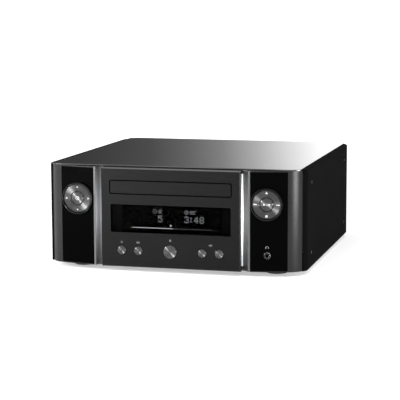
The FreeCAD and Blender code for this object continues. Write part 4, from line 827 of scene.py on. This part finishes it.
dial_x = 101.9
dial_z = 75.6
pad_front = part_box("pad_left")[0].y / MM
key_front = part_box("enter_button")[0].y / MM
cut_rim = finish("cut_rim", (0.55, 0.55, 0.56), 0.18, metal=1.0, grain=500.0, relief=0.05, tone=0.04)
rim_width = 0.55
for side, sign, key in (("left", -1, "enter_button"), ("right", 1, "play_button")):
    centre = (sign * dial_x, 0, dial_z)
    dressed("gimbal_" + side, 0.0, bezel_black)
    pad_metal = spun("spun_pad_" + side, (0.072, 0.072, 0.073), 0.36, centre)
    pad = painted_by(refined("pad_" + side, 0.45), (pad_metal, cut_rim), lambda place, normal: 0)

    # Faces that lie wholly in the outermost ring of the pad are its diamond-cut rim
    rim_start = (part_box("pad_" + side)[1].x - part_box("pad_" + side)[0].x) / MM / 2 - rim_width
    for face in pad.data.polygons:
        corners = [pad.data.vertices[number].co / MM for number in face.vertices]
        if min(math.hypot(corner.x - centre[0], corner.z - dial_z) for corner in corners) > rim_start:
            face.material_index = 1
    seated(pad, "pad_" + side)
    key_metal = spun("spun_key_" + side, (0.080, 0.080, 0.081), 0.35, centre)
    dressed(key, 0.15, key_metal)

# Printed marks on the pads and keys
pad_reach = 11.9
left_marks = [triangle(-dial_x + pad_reach * math.cos(math.radians(a)),
                       dial_z + pad_reach * math.sin(math.radians(a)), 1.15, a) for a in (0, 90, 180, 270)]
riding(raised_shapes("pad_left_marks", left_marks, pad_front + 0.02, 0.05, print_white), "pad_left")
right_marks = [triangle(dial_x, dial_z + pad_reach, 1.5, 90),
               rectangle(dial_x - 1.1, dial_x + 1.1, dial_z - pad_reach - 1.1, dial_z - pad_reach + 1.1),
               rectangle(dial_x - pad_reach - 1.9, dial_x - pad_reach + 1.9, dial_z - 0.45, dial_z + 0.45),
               rectangle(dial_x + pad_reach - 1.9, dial_x + pad_reach + 1.9, dial_z - 0.45, dial_z + 0.45)]
riding(raised_shapes("pad_right_marks", right_marks, pad_front + 0.02, 0.05, print_white), "pad_right")
enter_marks = two_bands(-dial_x, dial_z, 1.5, 2.0)
enter_marks.append(rectangle(-dial_x - 0.5, -dial_x + 0.5, dial_z - 0.5, dial_z + 0.5))
riding(raised_shapes("enter_button_mark", enter_marks, key_front + 0.17, 0.06, print_white), "enter_button")
play_marks = [triangle(dial_x - 2.6, dial_z, 1.4, 0),
              rectangle(dial_x + 1.2, dial_x + 2.0, dial_z - 1.2, dial_z + 1.2),
              rectangle(dial_x + 2.8, dial_x + 3.6, dial_z - 1.2, dial_z + 1.2),
              rectangle(dial_x - 0.4, dial_x - 0.1, dial_z - 1.3, dial_z + 1.3)]
riding(raised_shapes("play_button_mark", play_marks, key_front + 0.14, 0.06, print_white), "play_button")


# Push buttons: five keys turned from aluminium, each with a dished face, in a row under the window.
# A square flange behind the panel keeps each from falling out.

for name in ("standby_button", "source_button", "open_button", "volume_down_button", "volume_up_button"):
    low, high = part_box(name)
    centre = ((low.x + high.x) / 2 / MM, 0, (low.z + high.z) / 2 / MM)
    dressed(name, 0.18, spun("spun_" + name, (0.090, 0.090, 0.091), 0.34, centre))


# Headphone socket: a chromed ring on a barrel through the right wing, black inside, with a printed
# sign over it that follows the bow of the inlay.

chrome = finish("chrome", (0.10, 0.10, 0.102), 0.12, metal=1.0, grain=500.0, relief=0.04, spread=0.04, tone=0.04)
socket_black = finish("socket_black", (0.008, 0.008, 0.008), 0.55, specular=0.25, grain=900.0)
socket_z = 22.3
socket_bore = 1.85
ring_back = -130


def socket_face(centre, normal):
    """The bore and the body behind the wing are black; the ring is metal."""
    across = math.hypot(centre.x - dial_x, centre.z - socket_z)
    return 1 if across < socket_bore or centre.y > ring_back else 0


dressed("phones_jack", 0.12, chrome, socket_black, choose=socket_face)
inlay_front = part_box("phones_jack")[0].y / MM + 1.0
phone_marks = [band(dial_x, 30.6, 1.25, 1.6, 0, 180, 16),
               rectangle(dial_x - 1.75, dial_x - 0.95, 29.7, 30.9),
               rectangle(dial_x + 0.95, dial_x + 1.75, 29.7, 30.9)]
phones_mark = raised_shapes("phones_mark", phone_marks, inlay_front, 0.06, print_grey)
bow_radius = 200.0
bow_middle = 67.5
for corner in phones_mark.data.vertices:
    offset = corner.co.x / MM - bow_middle
    corner.co.y += (math.sqrt(bow_radius ** 2 - (dial_x - bow_middle) ** 2)
                    - math.sqrt(bow_radius ** 2 - offset ** 2)) * MM
riding(phones_mark, "housing")


# Front frame and front board: a black moulded wall behind the panel, and a circuit board with a
# switch for every key.

frame_black = finish("frame_black", (0.02, 0.02, 0.021), 0.5, specular=0.35, grain=900.0, relief=0.5)
dressed("front_frame", 0.2, frame_black)

solder_mask = finish("solder_mask", (0.010, 0.065, 0.025), 0.32, specular=0.5, grain=420.0, relief=0.3, tone=0.35)
part_black = finish("part_black", (0.016, 0.016, 0.017), 0.4, specular=0.4, grain=900.0)
part_silver = finish("part_silver", (0.55, 0.55, 0.56), 0.28, metal=1.0, grain=600.0, tone=0.08)
copper_wire = finish("copper_wire", (0.60, 0.22, 0.09), 0.34, metal=1.0, grain=900.0, stretch=(1, 1, 9), tone=0.3)
board_low, board_high = (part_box("front_board")[1].y / MM - 1.7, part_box("front_board")[1].y / MM + 0.1)
dressed("front_board", 0.0, solder_mask, part_black,
        choose=lambda centre, normal: 0 if board_low < centre.y < board_high else 1)


# Disc tray: a black moulded drawer with a stepped dish for two disc sizes and a rack on its rail.
# It runs in the loader frame, which stands on four legs over the chassis.

tray_black = finish("tray_black", (0.018, 0.018, 0.0185), 0.38, specular=0.45, grain=1300.0, relief=0.4)
loader_grey = finish("loader_grey", (0.035, 0.035, 0.037), 0.45, specular=0.4, grain=900.0, relief=0.5)
dressed("disc_tray", 0.25, tray_black)
dressed("loader_frame", 0.0, loader_grey)

gear_white = finish("gear_white", (0.74, 0.73, 0.69), 0.42, specular=0.45, grain=800.0, relief=0.2, tone=0.05)
belt_rubber = finish("belt_rubber", (0.012, 0.012, 0.012), 0.7, specular=0.25, grain=1800.0, relief=0.6)
motor_steel = finish("motor_steel", (0.50, 0.50, 0.51), 0.3, metal=1.0, grain=500.0, stretch=(1, 1, 8), tone=0.08)
for name in ("loading_gear", "pulley_gear", "motor_pulley"):
    dressed(name, 0.1, gear_white)
dressed("loading_belt", 0.0, belt_rubber)
dressed("loading_motor", 0.3, motor_steel)


# Disc drive: a steel plate that carries the spindle motor, the turntable, two ground rods and the
# sled with its lens. A strap over the tray holds the magnetic clamp.

drive_plate = finish("drive_plate", (0.42, 0.42, 0.43), 0.36, metal=1.0, grain=300.0, tone=0.1, spread=0.1)
ground_steel = finish("ground_steel", (0.62, 0.62, 0.63), 0.16, metal=1.0, grain=900.0, stretch=(9, 1, 9), tone=0.05)
sled_black = finish("sled_black", (0.02, 0.02, 0.021), 0.36, specular=0.45, grain=1000.0, relief=0.4)
lens_glass = finish("lens_glass", (0.10, 0.14, 0.30), 0.05, specular=0.8, grain=400.0, relief=0.0, coat=1.0)
dressed("traverse_plate", 0.12, drive_plate)
dressed("clamp_bridge", 0.15, drive_plate)
for name in ("guide_rods", "lead_screw"):
    dressed(name, 0.0, ground_steel)
for name in ("spindle_motor", "sled_motor"):
    dressed(name, 0.25, motor_steel)
dressed("turntable", 0.15, sled_black)
dressed("sled", 0.15, sled_black)
dressed("clamp_puck", 0.2, sled_black)
lens_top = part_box("lens")[1].z / MM - 1.0
dressed("lens", 0.1, sled_black, lens_glass, choose=lambda centre, normal: 1 if centre.z > lens_top else 0)


# Boards: the power board on the left with its transformer and mains capacitor, the amplifier board
# across the rear, and a black finned heat sink over the output stage.

board_level = 14.2
board_top = 15.8
can_top = 26


def board_face(centre, normal):
    """Board green between its two faces, plated pillars below, and above it black parts with silver tops."""
    if centre.z < board_level:
        return 3
    if centre.z <= board_top + 0.02:
        return 0
    return 2 if normal.z > 0.9 and centre.z > can_top else 1


board_finishes = (solder_mask, part_black, part_silver, plated_steel)
dressed("main_board", 0.0, *board_finishes, choose=board_face)


def power_face(centre, normal):
    """As on the amplifier board, with the transformer's winding in copper."""
    winding = 3 < centre.y < 45 and board_top + 2 < centre.z < 40 and -117 < centre.x < -90
    if winding and (centre.y < 9 or centre.y > 39):
        return 4
    return board_face(centre, normal)


dressed("power_supply", 0.0, *board_finishes, copper_wire, choose=power_face)
sink_black = finish("sink_black", (0.03, 0.03, 0.031), 0.35, metal=0.6, grain=500.0, stretch=(1, 9, 1))
dressed("heat_sink", 0.15, sink_black)


# Rear sockets: a two-pin inlet, a recessed cup with four screw posts, four line jacks with coloured
# collars, a network socket and a threaded aerial socket.

def turned(name, centre, profile, material):
    """Ring or disc round an axis along Y; the profile is a closed loop of (radius, y) in mm."""
    work = bmesh.new()
    rings = []
    steps = 48
    for radius, y in profile:
        ring = []
        for step in range(steps):
            a = 2 * math.pi * step / steps
            ring.append(work.verts.new(Vector((centre[0] + radius * math.cos(a), y,
                                               centre[1] + radius * math.sin(a))) * MM))
        rings.append(ring)
    for number, ring in enumerate(rings):
        beyond = rings[(number + 1) % len(rings)]
        for step in range(steps):
            after = (step + 1) % steps
            work.faces.new((ring[step], ring[after], beyond[after], beyond[step]))
    bmesh.ops.recalc_face_normals(work, faces=work.faces)
    mesh = bpy.data.meshes.new(name)
    work.to_mesh(mesh)
    work.free()
    mesh.materials.append(material)
    piece = link_object(name, mesh)
    smooth_by_angle(mesh)
    return piece


inlet_black = finish("inlet_black", (0.014, 0.014, 0.0145), 0.4, specular=0.45, grain=900.0, relief=0.35)
brass_plate = finish("brass_plate", (0.72, 0.52, 0.22), 0.24, metal=1.0, grain=600.0, tone=0.08)
nickel_jack = finish("nickel_jack", (0.58, 0.57, 0.55), 0.22, metal=1.0, grain=600.0, tone=0.06)
inlet_x = -102.0
connector_z = 38.0


def inlet_face(centre, normal):
    """The two pins are plated and the housing is black."""
    pin_gap, pin_radius, well_floor = 4.3, 1.3, rear_y - 12.9
    for dx in (-pin_gap, pin_gap):
        if math.hypot(centre.x - inlet_x - dx, centre.z - connector_z) < pin_radius and centre.y > well_floor:
            return 1
    return 0


def post_face(centre, normal):
    """Screw posts are brass and the cup is black."""
    post_radius, cup_floor = 2.6, rear_y - 5.9
    for x in (-62.5, -43.5, -24.5, -5.5):
        if math.hypot(centre.x - x, centre.z - connector_z) < post_radius and centre.y > cup_floor:
            return 1
    return 0


def jack_face(centre, normal):
    """Barrels are nickel and the bodies behind the panel are black."""
    return 0 if centre.y > rear_y - 1.0 else 1


dressed("power_inlet", 0.0, inlet_black, nickel_jack, choose=inlet_face)
dressed("speaker_terminals", 0.15, inlet_black, brass_plate, choose=post_face)
dressed("rear_jacks", 0.0, nickel_jack, inlet_black, choose=jack_face)
dressed("network_jack", 0.1, inlet_black)

cap_finishes = {"black": finish("cap_black", (0.016, 0.016, 0.0165), 0.36, specular=0.45, grain=900.0),
                "red": finish("cap_red", (0.42, 0.012, 0.014), 0.34, specular=0.45, grain=900.0, tone=0.08)}
for side in ("left", "right"):
    for colour, cap_finish in cap_finishes.items():
        node = "cap_" + side + "_" + colour
        dressed(node, 0.3, cap_finish)

# Each line jack has a coloured washer round its foot and a coloured sleeve in its mouth
jack_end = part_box("rear_jacks")[1].y / MM
collar_red = finish("collar_red", (0.55, 0.015, 0.015), 0.36, specular=0.45, grain=900.0, tone=0.08)
collar_white = finish("collar_white", (0.78, 0.78, 0.76), 0.36, specular=0.45, grain=900.0, tone=0.05)
for x, z, tint in ((36.0, 46.0, "white"), (52.0, 46.0, "white"), (36.0, 30.0, "red"), (52.0, 30.0, "red")):
    collar = collar_red if tint == "red" else collar_white
    sleeve = [(1.72, jack_end - 4.0), (1.72, jack_end + 0.15), (3.35, jack_end + 0.15), (3.35, jack_end - 4.0)]
    washer = [(4.4, rear_y - 0.1), (4.4, rear_y + 1.1), (6.2, rear_y + 0.8), (6.2, rear_y - 0.1)]
    riding(turned("jack_collar_%d_%d" % (x, z), (x, z), sleeve, collar), "housing")
    riding(turned("jack_base_%d_%d" % (x, z), (x, z), washer, collar), "housing")

# Threads of the aerial socket
thread = []
for step in range(9):
    y = rear_y + 1.0 + 0.8 * step
    thread += [(4.8, y), (5.05, y + 0.3), (5.05, y + 0.45), (4.8, y + 0.75)]
thread += [(4.5, rear_y + 8.2), (4.5, rear_y + 1.0)]
riding(turned("aerial_thread", (107.0, connector_z), thread, nickel_jack), "housing")

# Eight gilt contacts in the network socket
contact_middles = [84.0 + 1.02 * (step - 3.5) for step in range(8)]
contacts = [rectangle(middle - 0.22, middle + 0.22, 39.2, 41.9) for middle in contact_middles]
riding(raised_shapes("network_contacts", contacts, rear_y - 3.0, 7.0, brass_plate), "housing")
